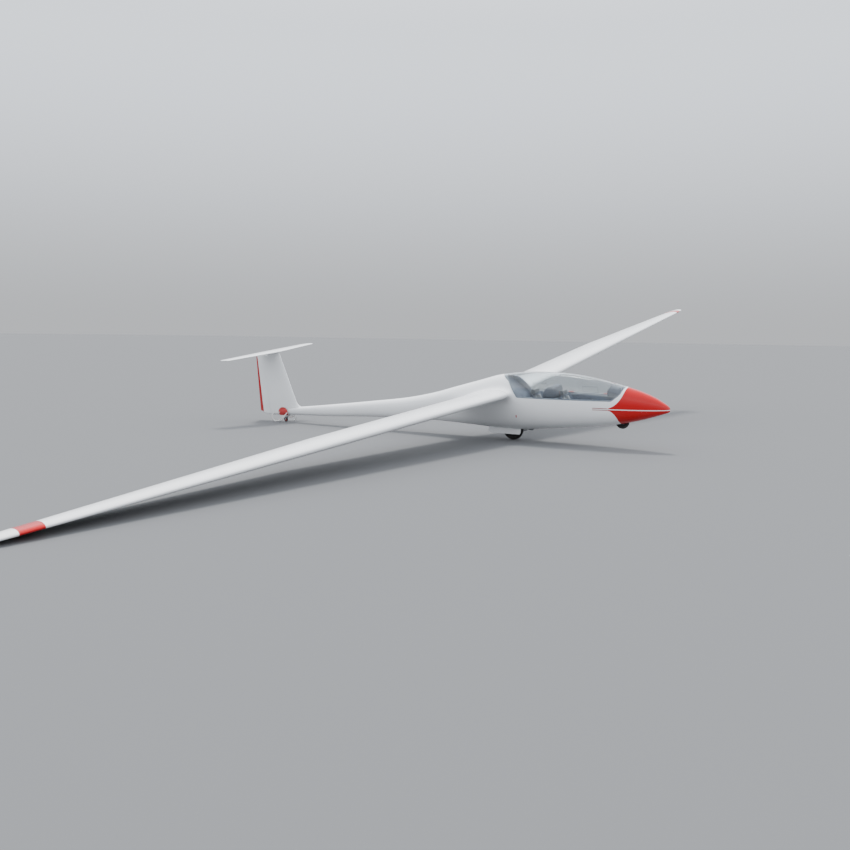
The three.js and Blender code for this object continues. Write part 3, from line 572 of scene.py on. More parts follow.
def wing_row(y):
    """Chord, thickness over chord and set-back at any y, with a rounded tip"""
    return row_at(WING, y) if y < WING[2, 0] else eased(WING[2:, 0], WING[2:, 1:], [y])[0]


def wing_section(side, y, outline=None):
    """Points of the wing's outline at a y, or of another outline in the same plane"""
    chord, ratio, back = wing_row(y)
    s, h = (foil(chord, ratio, CAMBER) if outline is None else outline).T
    x = WING_LE[0] - s - (back if outline is None else 0)
    z = WING_LE[1] + (y - WING_LE[2]) * math.tan(DIHEDRAL) + h - (WING_LE[0] - x) * math.sin(WING_SET)
    return np.stack([x, np.full_like(x, side * y), z], axis=1)


def unit(rows):
    """Directions of length one"""
    return rows / np.linalg.norm(rows, axis=1)[:, None]


def outward(outline):
    """Directions square to a closed outline, out of it"""
    turn = np.roll(outline, -1, axis=0) - np.roll(outline, 1, axis=0)
    return unit(np.stack([turn[:, 1], -turn[:, 0]], axis=1))


STUB_START = 0.20
ROOT_RADIUS, ROOT_TAPER = 0.080, 0.045  # at the leading edge, and how much less at the trailing edge
ROOT_LEAD, LEAD_POINT, LEAD_SPREAD = 0.7, 48, 5  # the corner runs out further under the leading edge
HALVINGS = 14


def root_stub(side):
    """A wing root that swells as it nears the hull, so that a rounded corner is left between them"""
    rings = []
    for y in np.linspace(STUB_START, ROOT_JOINT, 30):
        chord, ratio, _ = wing_row(y)
        outline = foil(chord, ratio, CAMBER)
        out = outward(outline)
        radius = ROOT_RADIUS - ROOT_TAPER * outline[:, 0] / chord
        stretch = 1 + ROOT_LEAD * np.exp(-((np.arange(len(outline)) - LEAD_POINT) / LEAD_SPREAD) ** 2)
        low, high = np.zeros(len(outline)), radius * stretch
        for _ in range(HALVINGS):
            middle = (low + high) / 2
            place = wing_section(side, y, outline + out * middle[:, None])
            inside = stretch * corner_round(radius, y - hull_half_width(place[:, 0], place[:, 2])) > middle
            low, high = np.where(inside, middle, low), np.where(inside, high, middle)
        rings.append(wing_section(side, y, outline + out * low[:, None]))
    return loft("root_stub", rings)


# Fin sections. Columns: height, leading edge x, trailing edge x, thickness over chord
FIN = np.array([
    [0.138, -5.120, -5.842, 0.11],
    [0.240, -4.790, -5.842, 0.10],
    [0.800, -4.990, -5.838, 0.10],
    [1.440, -5.211, -5.832, 0.10],
])
FIN_FOOT, FIN_FOOT_RADIUS = FIN[0, 0], 0.11
FIN_NOTCH = (-5.490, 1.352)
RUDDER_HINGE = ((-5.528, 0.120), (-5.640, 1.356))
RUDDER_FOOT = ((-5.500, 0.128), (-5.870, 0.200))
HINGE_SINK = 0.0006  # how far a control surface's round nose stays under the skin


def fin_section(z, grown=0.0):
    front, back, ratio = row_at(FIN, z)
    thick = ratio * (front - back) + 2 * grown
    lead = corner_round(FIN_FOOT_RADIUS, z - hull_at([front])[0, 0]) if z > FIN_FOOT else 0
    nose, chord = front + grown + lead, front + lead - back + 2 * grown
    s, h = foil(chord, thick / chord).T
    return np.stack([nose - s, h, np.full_like(s, z)], axis=1)


def fin_body(grown=0.0):
    foot, corner, blade = [FIN_FOOT, 0.17, 0.205], np.linspace(0.24, 0.44, 24), np.linspace(0.46, 1.44, 20)
    heights = np.concatenate([foot, corner, blade])
    return loft("fin", [fin_section(z, grown) for z in heights])


def fin_hinge(z):
    (low_x, low_z), (high_x, high_z) = RUDDER_HINGE
    x = low_x + (high_x - low_x) * (z - low_z) / (high_z - low_z)
    front, back, ratio = row_at(FIN, z)
    return Vector((x, 0, z)), half_thick(front - back, ratio, front - x) - HINGE_SINK


def hinged_surface(whole, hinge, zone, wider_zone, end_gap=SHUT):
    """Parts a body along a hinge line. hinge: point, radius. Returns the round-nosed surface and the rest"""
    along = (hinge[-1][0] - hinge[0][0]).normalized() * end_gap
    surface = carve(copy_of(whole), zone, "INTERSECT")
    rest = carve(copy_of(whole), wider_zone)
    last = len(hinge) - 2
    for k, ((start, near), (end, far)) in enumerate(zip(hinge, hinge[1:])):
        carve(surface, cone(start, end, near, far), "UNION")
        carve(rest, cone(start - along * (k == 0), end + along * (k == last), near + SHUT, far + SHUT))
    return surface, rest


def rudder_zone(grown):
    (_, front_z), (back, back_z) = RUDDER_FOOT
    top = FIN_NOTCH[1] + grown
    low = fin_hinge(front_z - grown)[0]
    high = fin_hinge(top)[0]
    return side_prism([(low.x, low.z), (back, back_z - grown), (back, top), (high.x, high.z)])


# Tailplane sections. Columns: y, chord, leading edge x, thickness over chord
TAILPLANE = np.array([
    [0.000, 0.490, -5.168, 0.11],
    [1.180, 0.300, -5.330, 0.11],
    [1.280, 0.235, -5.352, 0.10],
    [1.310, 0.130, -5.385, 0.10],
])
TAIL_SET = math.radians(2)
ELEVATOR_HINGE, ELEVATOR_REACH = (-5.515, 1.430), 1.245


def tail_row(y):
    """Chord, leading edge x and thickness over chord at any y, with rounded tips"""
    y = abs(y)
    return row_at(TAILPLANE, y) if y < TAILPLANE[1, 0] else eased(TAILPLANE[:, 0], TAILPLANE[:, 1:], [y])[0]


def tip_stations(end, reach, count):
    """Stations that crowd together towards a rounded tip"""
    return end - (1 - np.linspace(0, 1, count)[1:]) ** 1.6 * reach


def tail_body(grown=0.0):
    half = np.concatenate([np.linspace(0, 1.18, 20), tip_stations(1.31, 0.13, 16)])
    rings = []
    for y in np.concatenate([-half[:0:-1], half]):
        chord, front, ratio = tail_row(y)
        s, h = foil(chord + 2 * grown, ratio + 2 * grown / chord).T
        x = front + grown - s
        z = ELEVATOR_HINGE[1] + h + (x - ELEVATOR_HINGE[0]) * math.sin(TAIL_SET)
        rings.append(np.stack([x, np.full_like(x, y), z], axis=1))
    return loft("tail", rings)


# Side-view chains: the canopy's edge, and the lean of the bulkhead behind the rear seat
CANOPY_EDGE = [
    (-0.145, 1.260), (-0.115, 1.160), (0.050, 1.070), (0.238, 0.812),
    (1.885, 0.812), (2.012, 0.915), (2.062, 1.020), (2.080, 1.080),
]
BULKHEAD_LEAN = [
    (-0.200, 1.260), (-0.180, 1.175), (-0.095, 1.100), (0.051, 0.937),
    (0.168, 0.818), (0.240, 0.700), (0.240, 0.150),
]


def rounded_edge(chain, cut=0.028, steps=5):
    """A chain with its inner corners rounded off"""
    points = [Vector(p) for p in chain]
    out = [points[0]]
    for before, corner, after in zip(points, points[1:], points[2:]):
        near = corner + (before - corner).normalized() * cut
        far = corner + (after - corner).normalized() * cut
        out += [near.lerp(corner, t).lerp(corner.lerp(far, t), t) for t in np.linspace(0, 1, steps)]
    return [tuple(p) for p in out + [points[-1]]]


def canopy_cut(inset):
    return side_prism(rounded_edge(offset_chain(CANOPY_EDGE, inset)) + [(2.2, 1.5), (-0.3, 1.5)])


def tree_of(piece):
    shape = piece.data
    return BVHTree.FromPolygons([v.co for v in shape.vertices], [p.vertices[:] for p in shape.polygons])


MELT_CELL, MELT_ROUNDS, MELT_REACH = 0.007, 140, 0.110
MELT_REAR, MELT_FRONT, MELT_SIDE, MELT_FADE = -1.15, 0.35, ROOT_JOINT - 0.02, 0.04


def melt_roots(skin, stubs):
    """Smooths the corner where the wing stubs run into the hull"""
    soft = carve(copy_of(skin), block((-1.25, -ROOT_JOINT, 0.3), (0.45, ROOT_JOINT, 1.3)), "INTERSECT")
    cells = soft.modifiers.new("cells", "REMESH")
    cells.mode, cells.voxel_size = "VOXEL", MELT_CELL
    relax = soft.modifiers.new("relax", "SMOOTH")
    relax.factor, relax.iterations = 0.5, MELT_ROUNDS
    baked(soft)
    soft_tree, hull_tree = tree_of(soft), tree_of(hull)
    stub_trees = [tree_of(stub) for stub in stubs]
    for vertex in skin.data.vertices:
        place = vertex.co
        if abs(place.y) > MELT_SIDE or not MELT_REAR < place.x < MELT_FRONT:
            continue
        off_hull = hull_tree.find_nearest(place)[3]
        off_stub = min(tree.find_nearest(place)[3] for tree in stub_trees)
        share = 1 - min(max(off_hull, off_stub) / MELT_REACH, 1)
        share *= min((MELT_SIDE - abs(place.y)) / MELT_FADE, 1)
        if share > 0:
            vertex.co = place.lerp(soft_tree.find_nearest(place)[0], share * share * (3 - 2 * share))
    discard(soft)


STATIONS = np.concatenate([2.775 - np.linspace(0, 1, 46) ** 2 * 0.475, np.linspace(2.28, -5.484, 190)])
INNER_STATIONS = np.linspace(2.45, -0.4, 90)
NOSE_WHEEL = (1.987, 0.438)


def hull_inside(depth):
    """The cabin's part of the hull, at a depth under its skin"""
    return loft("hull_inside", hull_rings(INNER_STATIONS, depth))


def nose_box(reach, half_width, top):
    """A box round the nose wheel, as a recess or as the cover over it"""
    return block((NOSE_WHEEL[0] - reach, -half_width, 0.2), (NOSE_WHEEL[0] + reach, half_width, top))


hull = loft("hull", hull_rings(STATIONS))
stubs = [root_stub(side) for side in (1, -1)]
fin = fin_body()
cockpit_space = hull_inside(WALL)
carve(cockpit_space, side_prism(BULKHEAD_LEAN + [(2.2, 0.15), (2.2, 1.26)]), "INTERSECT")
carve(cockpit_space, nose_box(0.139, 0.066, 0.6))
wells = [block((-0.430, -0.112, 0.10), (0.212, 0.112, 0.470)), nose_box(0.131, 0.058, 0.592)]
skin = copy_of(hull)
for stub in stubs:
    carve(skin, stub, "UNION", keep_tool=True)
melt_roots(skin, stubs)
whole = carve(copy_of(skin), fin, "UNION", keep_tool=True)
rudder, fuselage = hinged_surface(
    whole, (fin_hinge(FIN_FOOT), fin_hinge(FIN_NOTCH[1])), rudder_zone(0), rudder_zone(0.2),
)
discard(whole, *stubs)
carve(fuselage, block((-5.9, -0.5, FIN_NOTCH[1]), (FIN_NOTCH[0], 0.5, 1.5)))
carve(fuselage, tail_body(SNUG))
carve(fuselage, cockpit_space, keep_tool=True)
carve(fuselage, canopy_cut(0))
for well in wells:
    carve(fuselage, well, keep_tool=True)
settle(fuselage, "fuselage_skin", "gelcoat", nose_gelcoat, ["fuselage_left", "fuselage_right"], [
    (skin, None), (fin, None), (cockpit_space, wall_paint), *[(well, well_paint) for well in wells],
])


# Wings. Each is one hollow glass-fibre shell in the real glider, with camber-changing flaps
# inboard and ailerons outboard. White tape covers the root joint and, below, the hinge gaps.
HINGE_SHARE = 0.8
END_GAP = 0.005
WING_SURFACES = (("flap", 0.520, 5.094), ("aileron", 5.110, 9.180))
BRAKE_X, BRAKE_Y, BRAKE_LENGTH, BRAKE_HEIGHT = -0.360, 3.4, 1.2, 0.096
CAP_WIDTH, CAP_THICK, BLADE_THICK, BRAKE_HOLES = 0.024, 0.007, 0.004, 15
TIP_BAND, TIP_BAND_LEAN = (9.504, 0.128), -0.31


def wing_hinge(side, y):
    chord, ratio, _ = wing_row(y)
    behind, mean = HINGE_SHARE * chord, CAMBER * (1 - (2 * HINGE_SHARE - 1) ** 2) * chord
    place = wing_section(side, y, np.array([[behind, mean]]))[0]
    return Vector(place), half_thick(chord, ratio, behind) - HINGE_SINK


def hinge_zone(side, start, end):
    stations = [start, *[y for y in WING[:, 0] if start < y < end], end]
    line = [tuple(wing_hinge(side, y)[0].xy) for y in stations]
    return plan_prism(line + [(-1.6, side * end), (-1.6, side * start)], 0.3, 2.0)


def tip_paint(tree, x, y, z, white):
    """A red band near each tip, running further out at the leading edge"""
    along = calc(tree, "MULTIPLY_ADD", x, TIP_BAND_LEAN, calc(tree, "ABSOLUTE", y))
    return tinted(tree, calc(tree, "COMPARE", along, *TIP_BAND), white, RED)


def wing_body(side):
    stations = np.concatenate([[ROOT_JOINT + SNUG], np.linspace(0.5, 9.3, 45), tip_stations(10, 0.7, 26)])
    return loft("wing", [wing_section(side, y) for y in stations])


def upper_skin(side, y, x):
    """Height of the wing's upper skin above a place"""
    ring = wing_section(side, y)[:45][::-1]
    return float(np.interp(-x, -ring[:, 0], ring[:, 2]))


def joined(name, *pieces):
    """Several bodies as the parts of one mesh"""
    whole = bmesh.new()
    for piece in pieces:
        whole.from_mesh(piece.data)
    mesh = bpy.data.meshes.new(name)
    whole.to_mesh(mesh)
    whole.free()
    discard(*pieces)
    return link_piece(name, mesh)


wing_gelcoat = coat_material("wing_gelcoat", tip_paint)
tape_white = plain_material("white_tape", (0.82, 0.82, 0.81), 0.42)
brake_metal = plain_material("airbrake_metal", (0.62, 0.63, 0.64), 0.38, 0.9)


def thickened(piece, thickness):
    """Gives a sheet its thickness, half to each side"""
    thick = piece.modifiers.new("thick", "SOLIDIFY")
    thick.thickness, thick.offset = thickness, 0
    return baked(piece)


def rod(start, end, radius, sides):
    return cone(start, end, radius, radius, sides)


def skin_strip(name, side, stations, shares, rise=0.0005, columns=3):
    """A tape on the wing's skin. shares: first and last, as places along the outline's 80 steps a side"""
    bands = []
    for y in stations:
        chord, ratio, back = wing_row(y)
        outline = foil(chord, ratio, CAMBER, points=80)
        raised = outline + outward(outline) * rise
        picks = np.linspace(*shares, columns)
        path = [np.interp(picks, np.arange(161), raised[:, k]) for k in (0, 1)]
        bands.append(wing_section(side, y, np.stack([path[0] + back, path[1]], axis=1)))
    return thickened(loft(name, bands, closed=False), 0.0003)


def brake_box(half_width, end_gap, low, high):
    """A box along the airbrake's slot, measured from the wing's upper skin"""
    half = BRAKE_LENGTH / 2 + end_gap
    return block((-half_width, -half, low), (half_width, half, high))


ROOT_TAPE_STATIONS, ROOT_TAPE_SHARES = np.linspace(0.423, 0.443, 4), (1.5, 158.5)
SEAL_SHARES = ((24.7, 25.6), (134.4, 135.3))  # above and below the wing
for place, side in (("left", 1), ("right", -1)):
    whole = wing_body(side)
    wing = copy_of(whole)
    like = [(whole, None)]
    for name, start, end in WING_SURFACES:
        zone, wider = hinge_zone(side, start, end), hinge_zone(side, start - END_GAP, end + END_GAP)
        hinge = (wing_hinge(side, start), wing_hinge(side, end))
        surface, rest = hinged_surface(whole, hinge, zone, wider, END_GAP)
        carve(wing, rest, "INTERSECT")
        body = f"{name}_{place}"
        settle(surface, f"{name}_skin_{place}", "gelcoat", wing_gelcoat, [body], like, body)
    top = upper_skin(side, BRAKE_Y, BRAKE_X)
    slope = Matrix.Translation((BRAKE_X, side * BRAKE_Y, top)) @ Matrix.Rotation(side * DIHEDRAL, 4, "X")
    recess = brake_box(CAP_WIDTH / 2 + 0.001, 0.001, -0.112, 0.05)
    recess.data.transform(slope)
    carve(wing, recess)
    settle(wing, f"wing_skin_{place}", "gelcoat", wing_gelcoat, [f"wing_{place}"], like)
    body = f"airbrake_{place}"
    cap = brake_box(CAP_WIDTH / 2, 0, -CAP_THICK, 0.05)
    cap.data.transform(slope)
    carve(cap, whole, "INTERSECT", keep_tool=True)
    settle(cap, f"airbrake_cap_{place}", "gelcoat", wing_gelcoat, (), like, body)
    blade = brake_box(BLADE_THICK / 2, -0.01, -BRAKE_HEIGHT, -CAP_THICK - 0.004)
    for k in range(BRAKE_HOLES):
        y = -BRAKE_LENGTH / 2 + 0.08 + k * (BRAKE_LENGTH - 0.16) / (BRAKE_HOLES - 1)
        carve(blade, rod((-0.01, y, -0.055), (0.01, y, -0.055), 0.016, 20))
    blade.data.transform(slope)
    blade.data.shade_flat()
    settle(blade, f"airbrake_blade_{place}", "bare_metal", brake_metal, [body], body=body)
    discard(whole)
    root_tape = skin_strip("root_tape", side, ROOT_TAPE_STATIONS, ROOT_TAPE_SHARES, 0.0006, 150)
    settle(root_tape, f"root_tape_{place}", "gelcoat", tape_white)
    seal = joined("seals", *[
        skin_strip("seal", side, np.linspace(start + 0.01, end - 0.01, 60), shares)
        for _, start, end in WING_SURFACES for shares in SEAL_SHARES
    ])
    settle(seal, f"hinge_seals_{place}", "gelcoat", tape_white)


# Tail. The rudder was left turned to one side; its trailing edge is painted red, a little darker than
# the nose's red as painted shade for the shaded edge. The elevator runs across the whole tailplane on top of
# the fin.
RUDDER_REAR, SHADED_EDGE_RED = -5.836, (0.42, 0.008, 0.014, 1)


def edge_paint(tree, x, y, z, white):
    """A red edge, darkened a little as painted shade, that is broader low down"""
    ahead = calc(tree, "SUBTRACT", x, RUDDER_REAR)
    breadth = remap(tree, z, 0.2, 1.33, 0.085, 0.038)
    return tinted(tree, calc(tree, "GREATER_THAN", breadth, ahead), white, SHADED_EDGE_RED)


foot, _ = fin_hinge(FIN_FOOT)
axis = (fin_hinge(FIN_NOTCH[1])[0] - foot).normalized()
RUDDER_SET = math.radians(-3)
left_turned = Matrix.Translation(foot) @ Matrix.Rotation(RUDDER_SET, 4, axis) @ Matrix.Translation(-foot)
rudder_gelcoat = coat_material("rudder_gelcoat", edge_paint)
settle(rudder, "rudder_skin", "gelcoat", rudder_gelcoat, ["rudder"], [(fin, None)], "rudder", left_turned)

tail = tail_body()
x, z = ELEVATOR_HINGE
hinge = []
for y in (-ELEVATOR_REACH, -TAILPLANE[1, 0], 0, TAILPLANE[1, 0], ELEVATOR_REACH):
    chord, front, ratio = tail_row(y)
    hinge.append((Vector((x, y, z)), half_thick(chord, ratio, front - x) - 0.001))
elevator, tailplane = hinged_surface(tail, hinge, *(
    block((-5.9, -reach, 1.2), (x, reach, 1.7)) for reach in (ELEVATOR_REACH, ELEVATOR_REACH + SHUT)
))
settle(elevator, "elevator_skin", "gelcoat", gelcoat, ["elevator"], [(tail, None)], "elevator")
settle(tailplane, "tailplane_skin", "gelcoat", gelcoat, ["tailplane"], [(tail, None)])
discard(tail, fin, skin, *wells)


# Canopy. One long blown acrylic sheet is bonded on a slim moulded frame that hinges on the right
# rim. The sheet runs out over the frame, so the frame shows through its edge.
def clear_sheet(name, tint, shadow):
    """Clear acrylic that lets most light through to what is inside"""
    material = plain_material(name, tint, 0.0)
    tree = material.node_tree
    shade(tree, ("Transmission Weight", 1.0), ("IOR", 1.49))
    through = add_node(tree, "BsdfTransparent", [("Color", (*shadow, 1))]).outputs[0]
    in_shadow = add_node(tree, "LightPath").outputs["Is Shadow Ray"]
    clear = tree.nodes["Principled BSDF"].outputs[0]
    pick = add_node(tree, "MixShader", [(0, in_shadow), (1, clear), (2, through)])
    fed(tree, tree.nodes["Material Output"], [("Surface", pick.outputs[0])])
    return material


acrylic = clear_sheet("canopy_acrylic", (0.80, 0.84, 0.85), (0.78, 0.82, 0.83))
trim_paint = plain_material("canopy_trim", (0.15, 0.175, 0.225), 0.5)
# Depths under the skin: the sheet's lower face and the rim's. Then how far inside the canopy's
# edge the sheet starts, and where the rim starts and ends
SHEET, RIM_DEPTH = 0.004, 0.020
SHEET_START, RIM_START, RIM_END = 0.0025, 0.004, 0.019
lower_face = hull_inside(SHEET)
glass = carve(copy_of(hull), canopy_cut(SHEET_START), "INTERSECT")
carve(glass, lower_face, keep_tool=True)
like = [(hull, None), (lower_face, None)]
settle(glass, "canopy_sheet", "canopy_sheet", acrylic, ["canopy_glass"], like, "canopy")
rim = carve(hull_inside(SHEET + 0.0005), hull_inside(RIM_DEPTH))
carve(rim, canopy_cut(RIM_START), "INTERSECT")
carve(rim, canopy_cut(RIM_END))
settle(rim, "canopy_rim", "canopy_rim", trim_paint, ["canopy_frame"], [(lower_face, None)], "canopy")
discard(lower_face)


# Cockpit. Blue-grey walls and bulkhead, two reclined seat shells with padded covers and four-point
# harnesses, dark instrument pods, and the controls: knobs are coloured as the hands expect them.
trim = plain_material("cockpit_trim", (0.080, 0.100, 0.145), 0.6)
black_trim = plain_material("black_trim", (0.018, 0.019, 0.021), 0.55)
pod_trim = plain_material("pod_trim", (0.048, 0.058, 0.082), 0.6)
bare_metal = plain_material("bare_metal", (0.62, 0.63, 0.64), 0.34, 0.9)


def grained(material, scale, detail, depth):
    """Fine grain over a moulded surface"""
    tree = material.node_tree
    bumped(tree, noise(tree, own_axes(tree), scale, detail), depth, 0.6)


grained(trim, 420.0, 2.0, 0.0004)
grained(black_trim, 300.0, 3.0, 0.0005)

woven, inside, outside = new_group(
    "woven", [("Vector", "Vector", None), ("Colour", "Color", (0.1, 0.1, 0.1, 1)), ("Scale", "Float", 500.0)],
    [("Colour", "Color"), ("Height", "Float")],
)
THREAD_COLOR, SOILED_COLOR = (0.30, 0.31, 0.33, 1), (0.012, 0.013, 0.016, 1)
place = inside.outputs["Vector"]
feeds = [("Vector", place), ("Scale", inside.outputs["Scale"]), ("Distortion", 0.6), ("Detail", 1.0)]
waves = [add_node(woven, "TexWave", feeds, bands_direction=way).outputs["Fac"] for way in ("X", "Z")]
threads = calc(woven, "MULTIPLY", *waves)
soiled = noise(woven, place, scale=14.0, detail=5.0, roughness=0.6)
cloth = tinted(woven, calc(woven, "MULTIPLY", threads, 0.55), inside.outputs["Colour"], THREAD_COLOR)
cloth = tinted(woven, calc(woven, "MULTIPLY", soiled, 0.35), cloth, SOILED_COLOR)
fed(woven, outside, [("Colour", cloth), ("Height", threads)])


def cloth_material(name, color, scale=500.0):
    material = plain_material(name, color, 0.92)
    tree = material.node_tree
    feeds = [("Vector", own_axes(tree)), ("Colour", (*color, 1)), ("Scale", scale)]
    cloth = add_node(tree, "Group", feeds, node_tree=woven)
    shade(tree, ("Base Color", cloth.outputs["Colour"]), ("Sheen Weight", 0.35))
    bumped(tree, cloth.outputs["Height"], 0.0006, 0.8)
    return material


cover_cloth = cloth_material("seat_cover_cloth", (0.055, 0.062, 0.080))
headrest_cloth = cloth_material("headrest_cloth", (0.020, 0.022, 0.026))
webbing = cloth_material("harness_webbing", (0.30, 0.31, 0.34), 700.0)
knob_paints = {name: plain_material(f"knob_{name}", color, 0.35) for name, color in (
    ("blue", (0.02, 0.09, 0.45)), ("yellow", (0.75, 0.50, 0.02)), ("green", (0.03, 0.28, 0.07)),
    ("red", (0.60, 0.01, 0.015)), ("black", (0.015, 0.015, 0.016)),
)}


def bevelled(piece, width, segments=3, angle=30):
    """Rounds a body's sharp edges"""
    bevel = piece.modifiers.new("bevel", "BEVEL")
    bevel.width, bevel.segments, bevel.angle_limit = width, segments, math.radians(angle)
    bevel.harden_normals = True
    return baked(piece)


def tube(points, radius, steps=40, sides=14):
    """A round tube along a smooth line"""
    path = smooth_chain(points, steps)
    along = unit(np.gradient(path, axis=0))
    normal = Vector(along[0]).orthogonal().normalized()
    rings = []
    for place, tangent in zip(path, along):
        tangent = Vector(tangent)
        normal = (normal - tangent * normal.dot(tangent)).normalized()
        other = tangent.cross(normal)
        rings.append([Vector(place) + radius * (math.cos(a) * normal + math.sin(a) * other)
                      for a in np.arange(sides) / sides * 2 * math.pi])
    return loft("tube", rings)


def lathe(profile, centre, axis="Y", sides=64):
    """A closed profile of radius and distance along the axis, turned round it"""
    turn = {"X": Matrix.Rotation(math.pi / 2, 4, "Y"), "Y": Matrix.Rotation(-math.pi / 2, 4, "X"),
            "Z": Matrix.Identity(4)}[axis]
    count = len(profile)
    points, faces = [], []
    for k in range(sides):
        angle = k / sides * 2 * math.pi
        points += [(r * math.cos(angle), r * math.sin(angle), along) for r, along in profile]
    for k in range(sides):
        near, far = k * count, (k + 1) % sides * count
        faces += [(near + i, near + (i + 1) % count, far + (i + 1) % count, far + i) for i in range(count)]
    piece = body_mesh("lathe", points, faces)
    piece.data.transform(Matrix.Translation(centre) @ turn)
    return piece


def smooth_by_angle(piece, degrees=35):
    piece.data.shade_smooth()
    piece.data.set_sharp_from_angle(angle=math.radians(degrees))
    return piece


AXIS = 1e-5  # a turned piece's closed ends come this near its axis


def ball(centre, radius):
    quarter = math.pi / 2
    profile = [(radius * math.cos(a), radius * math.sin(a)) for a in np.linspace(-quarter, quarter, 13)]
    profile[0], profile[-1] = (AXIS, profile[0][1]), (AXIS, profile[-1][1])
    return lathe(profile, centre, "Z", 24)


# Columns: place, x of the top of the back, length
SEATS = (("rear", 0.400, 0.490), ("front", 0.920, 0.580))
SEAT_LINE = ((0.030, 0.835), (0.070, 0.760), (0.170, 0.500), (0.250, 0.425), (0.380, 0.400), (0.640, 0.450))
SEAT_HALF, SEAT_FLAT, SEAT_RAMP, SEAT_LIP = 0.205, 0.125, 0.08, 0.05
STRAP_WIDTH = 0.044
# The lap straps' way from the seat's side to the buckle. Columns: step along the seat, y, rise
LAP = ((3, 0.125, 0.012), (6, 0.10, 0.02), (9, 0.05, 0.03), (10, 0.02, 0.034))
# Columns: radius, height
BUCKLE = [(1e-4, -0.007), (0.026, -0.007), (0.030, -0.004), (0.030, 0.004), (0.026, 0.008), (1e-4, 0.009)]
# Columns: ahead of the seat's back, height
HEADREST = [(0.034, 0.842), (0.006, 0.858), (0.008, 0.908), (0.036, 0.932), (0.070, 0.922), (0.076, 0.862)]
cabin = hull_inside(WALL + 0.002)


def line_frame(chain):
    """Directions towards the pilot along a side-view chain"""
    along = unit(np.gradient(chain, axis=0))
    return np.stack([-along[:, 1], along[:, 0]], axis=1)


def pad(chain, half_width, thick, columns=34, creases=()):
    """A soft pad with pillowed edges that lies on a side-view chain"""
    facing = line_frame(chain)
    rings = []
    for u, (x, z), (out_x, out_z) in zip(np.linspace(-1, 1, len(chain)), chain, facing):
        full = max(1 - abs(u) ** 6, 0) ** 0.5
        crease = 1 - sum(0.30 * math.exp(-((u - c) / 0.035) ** 2) for c in creases)
        ring = []
        for a in (np.arange(columns) + 0.5) / columns * 2 * math.pi:
            up, out = math.cos(a), math.sin(a)
            across = math.copysign(abs(out) ** 0.5, out) * (half_width - 0.012 * (1 - full))
            rise = thick / 2 * (1 + math.copysign(abs(up) ** 0.6, up) * full * (crease if up > 0 else 1))
            ring.append((x + out_x * rise, across, z + out_z * rise))
        rings.append(ring)
    return loft("pad", rings)


def ribbon(chain, y_at, facing, width, thick=0.0016):
    """A strap along a side-view chain, at changing distances from the middle"""
    path = np.stack([chain[:, 0], y_at, chain[:, 1]], axis=1)
    along = np.gradient(path, axis=0)
    rings = []
    for place, tangent, (out_x, out_z) in zip(path, along, facing):
        out = Vector((out_x, 0, out_z))
        side = Vector(tangent).normalized().cross(out).normalized()
        place = Vector(place)
        rings.append([place + side * (width / 2 * s) + out * (thick / 2 * o)
                      for s, o in ((-1, -1), (1, -1), (1, 1), (-1, 1))])
    return smooth_by_angle(loft("strap", rings))


for place, x, length in SEATS:
    line = smooth_chain([(x + dx, z) for dx, z in SEAT_LINE], 70)
    line = line[line[:, 0] <= x + length]
    facing = line_frame(line)
    rings = []
    for (at, z), (out_x, out_z) in zip(line, facing):
        rings.append([])
        for y in np.linspace(-SEAT_HALF, SEAT_HALF, 31):
            rise = SEAT_LIP * np.clip((abs(y) - SEAT_FLAT) / SEAT_RAMP, 0, 1) ** 2
            rings[-1].append((at + out_x * rise, y, z + out_z * rise))
    shell = thickened(loft("seat", rings, closed=False), 0.006)
    carve(shell, cabin, "INTERSECT", keep_tool=True)
    settle(smooth_by_angle(shell, 40), f"seat_shell_{place}", "cockpit_trim", trim, [f"seat_{place}"])

    lifted = line + facing * 0.004
    back, base = lifted[3:33], lifted[39:68]
    pads = (("back", back, 0.034, (-0.45, 0.0, 0.45)), ("base", base, 0.040, (0.0,)))
    for name, part, thick, creases in pads:
        cushion = pad(smooth_chain(part, 60), 0.132, thick, creases=creases)
        settle(cushion, f"seat_{name}_pad_{place}", "upholstery", cover_cloth)

    top = back + line_frame(back) * 0.0365
    hips = base + line_frame(base) * 0.0425
    u = np.linspace(0, 1, len(top))
    straps = [ribbon(top, side * (0.085 - 0.035 * u**2), line_frame(top), STRAP_WIDTH) for side in (1, -1)]
    for side in (1, -1):
        route = smooth_chain([(hips[k][0], side * y, hips[k][1] + rise) for k, y, rise in LAP], 20)
        facing = np.tile((0.35, 0.94), (len(route), 1))
        straps.append(ribbon(route[:, [0, 2]], route[:, 1], facing, STRAP_WIDTH))
    settle(joined("straps", *straps), f"harness_{place}", "upholstery", webbing)
    buckle = lathe(BUCKLE, (hips[10][0], 0, hips[10][1] + 0.038), "Z", 40)
    at_x, at_z = top[8]
    adjusters = []
    for y in (0.083, -0.083):
        plate = block((at_x - 0.004, y - 0.026, at_z - 0.012), (at_x + 0.010, y + 0.026, at_z + 0.018))
        adjusters.append(bevelled(plate, 0.003))
    buckles = smooth_by_angle(joined("buckle", buckle, *adjusters))
    settle(buckles, f"buckles_{place}", "bare_metal", bare_metal)

    cushion = side_prism([(x + dx, z) for dx, z in HEADREST], -0.105, 0.105)
    bevelled(cushion, 0.012, 4)
    settle(cushion, f"headrest_pad_{place}", "upholstery", headrest_cloth, [f"headrest_{place}"])

bulkhead = side_prism(offset_chain(BULKHEAD_LEAN, 0.001) + offset_chain(BULKHEAD_LEAN, 0.012)[::-1])
carve(bulkhead, cabin, "INTERSECT", keep_tool=True)
carve(bulkhead, hull_inside(0.026), "INTERSECT")
settle(bulkhead, "bulkhead_panel", "cockpit_trim", trim, ["rear_bulkhead"])

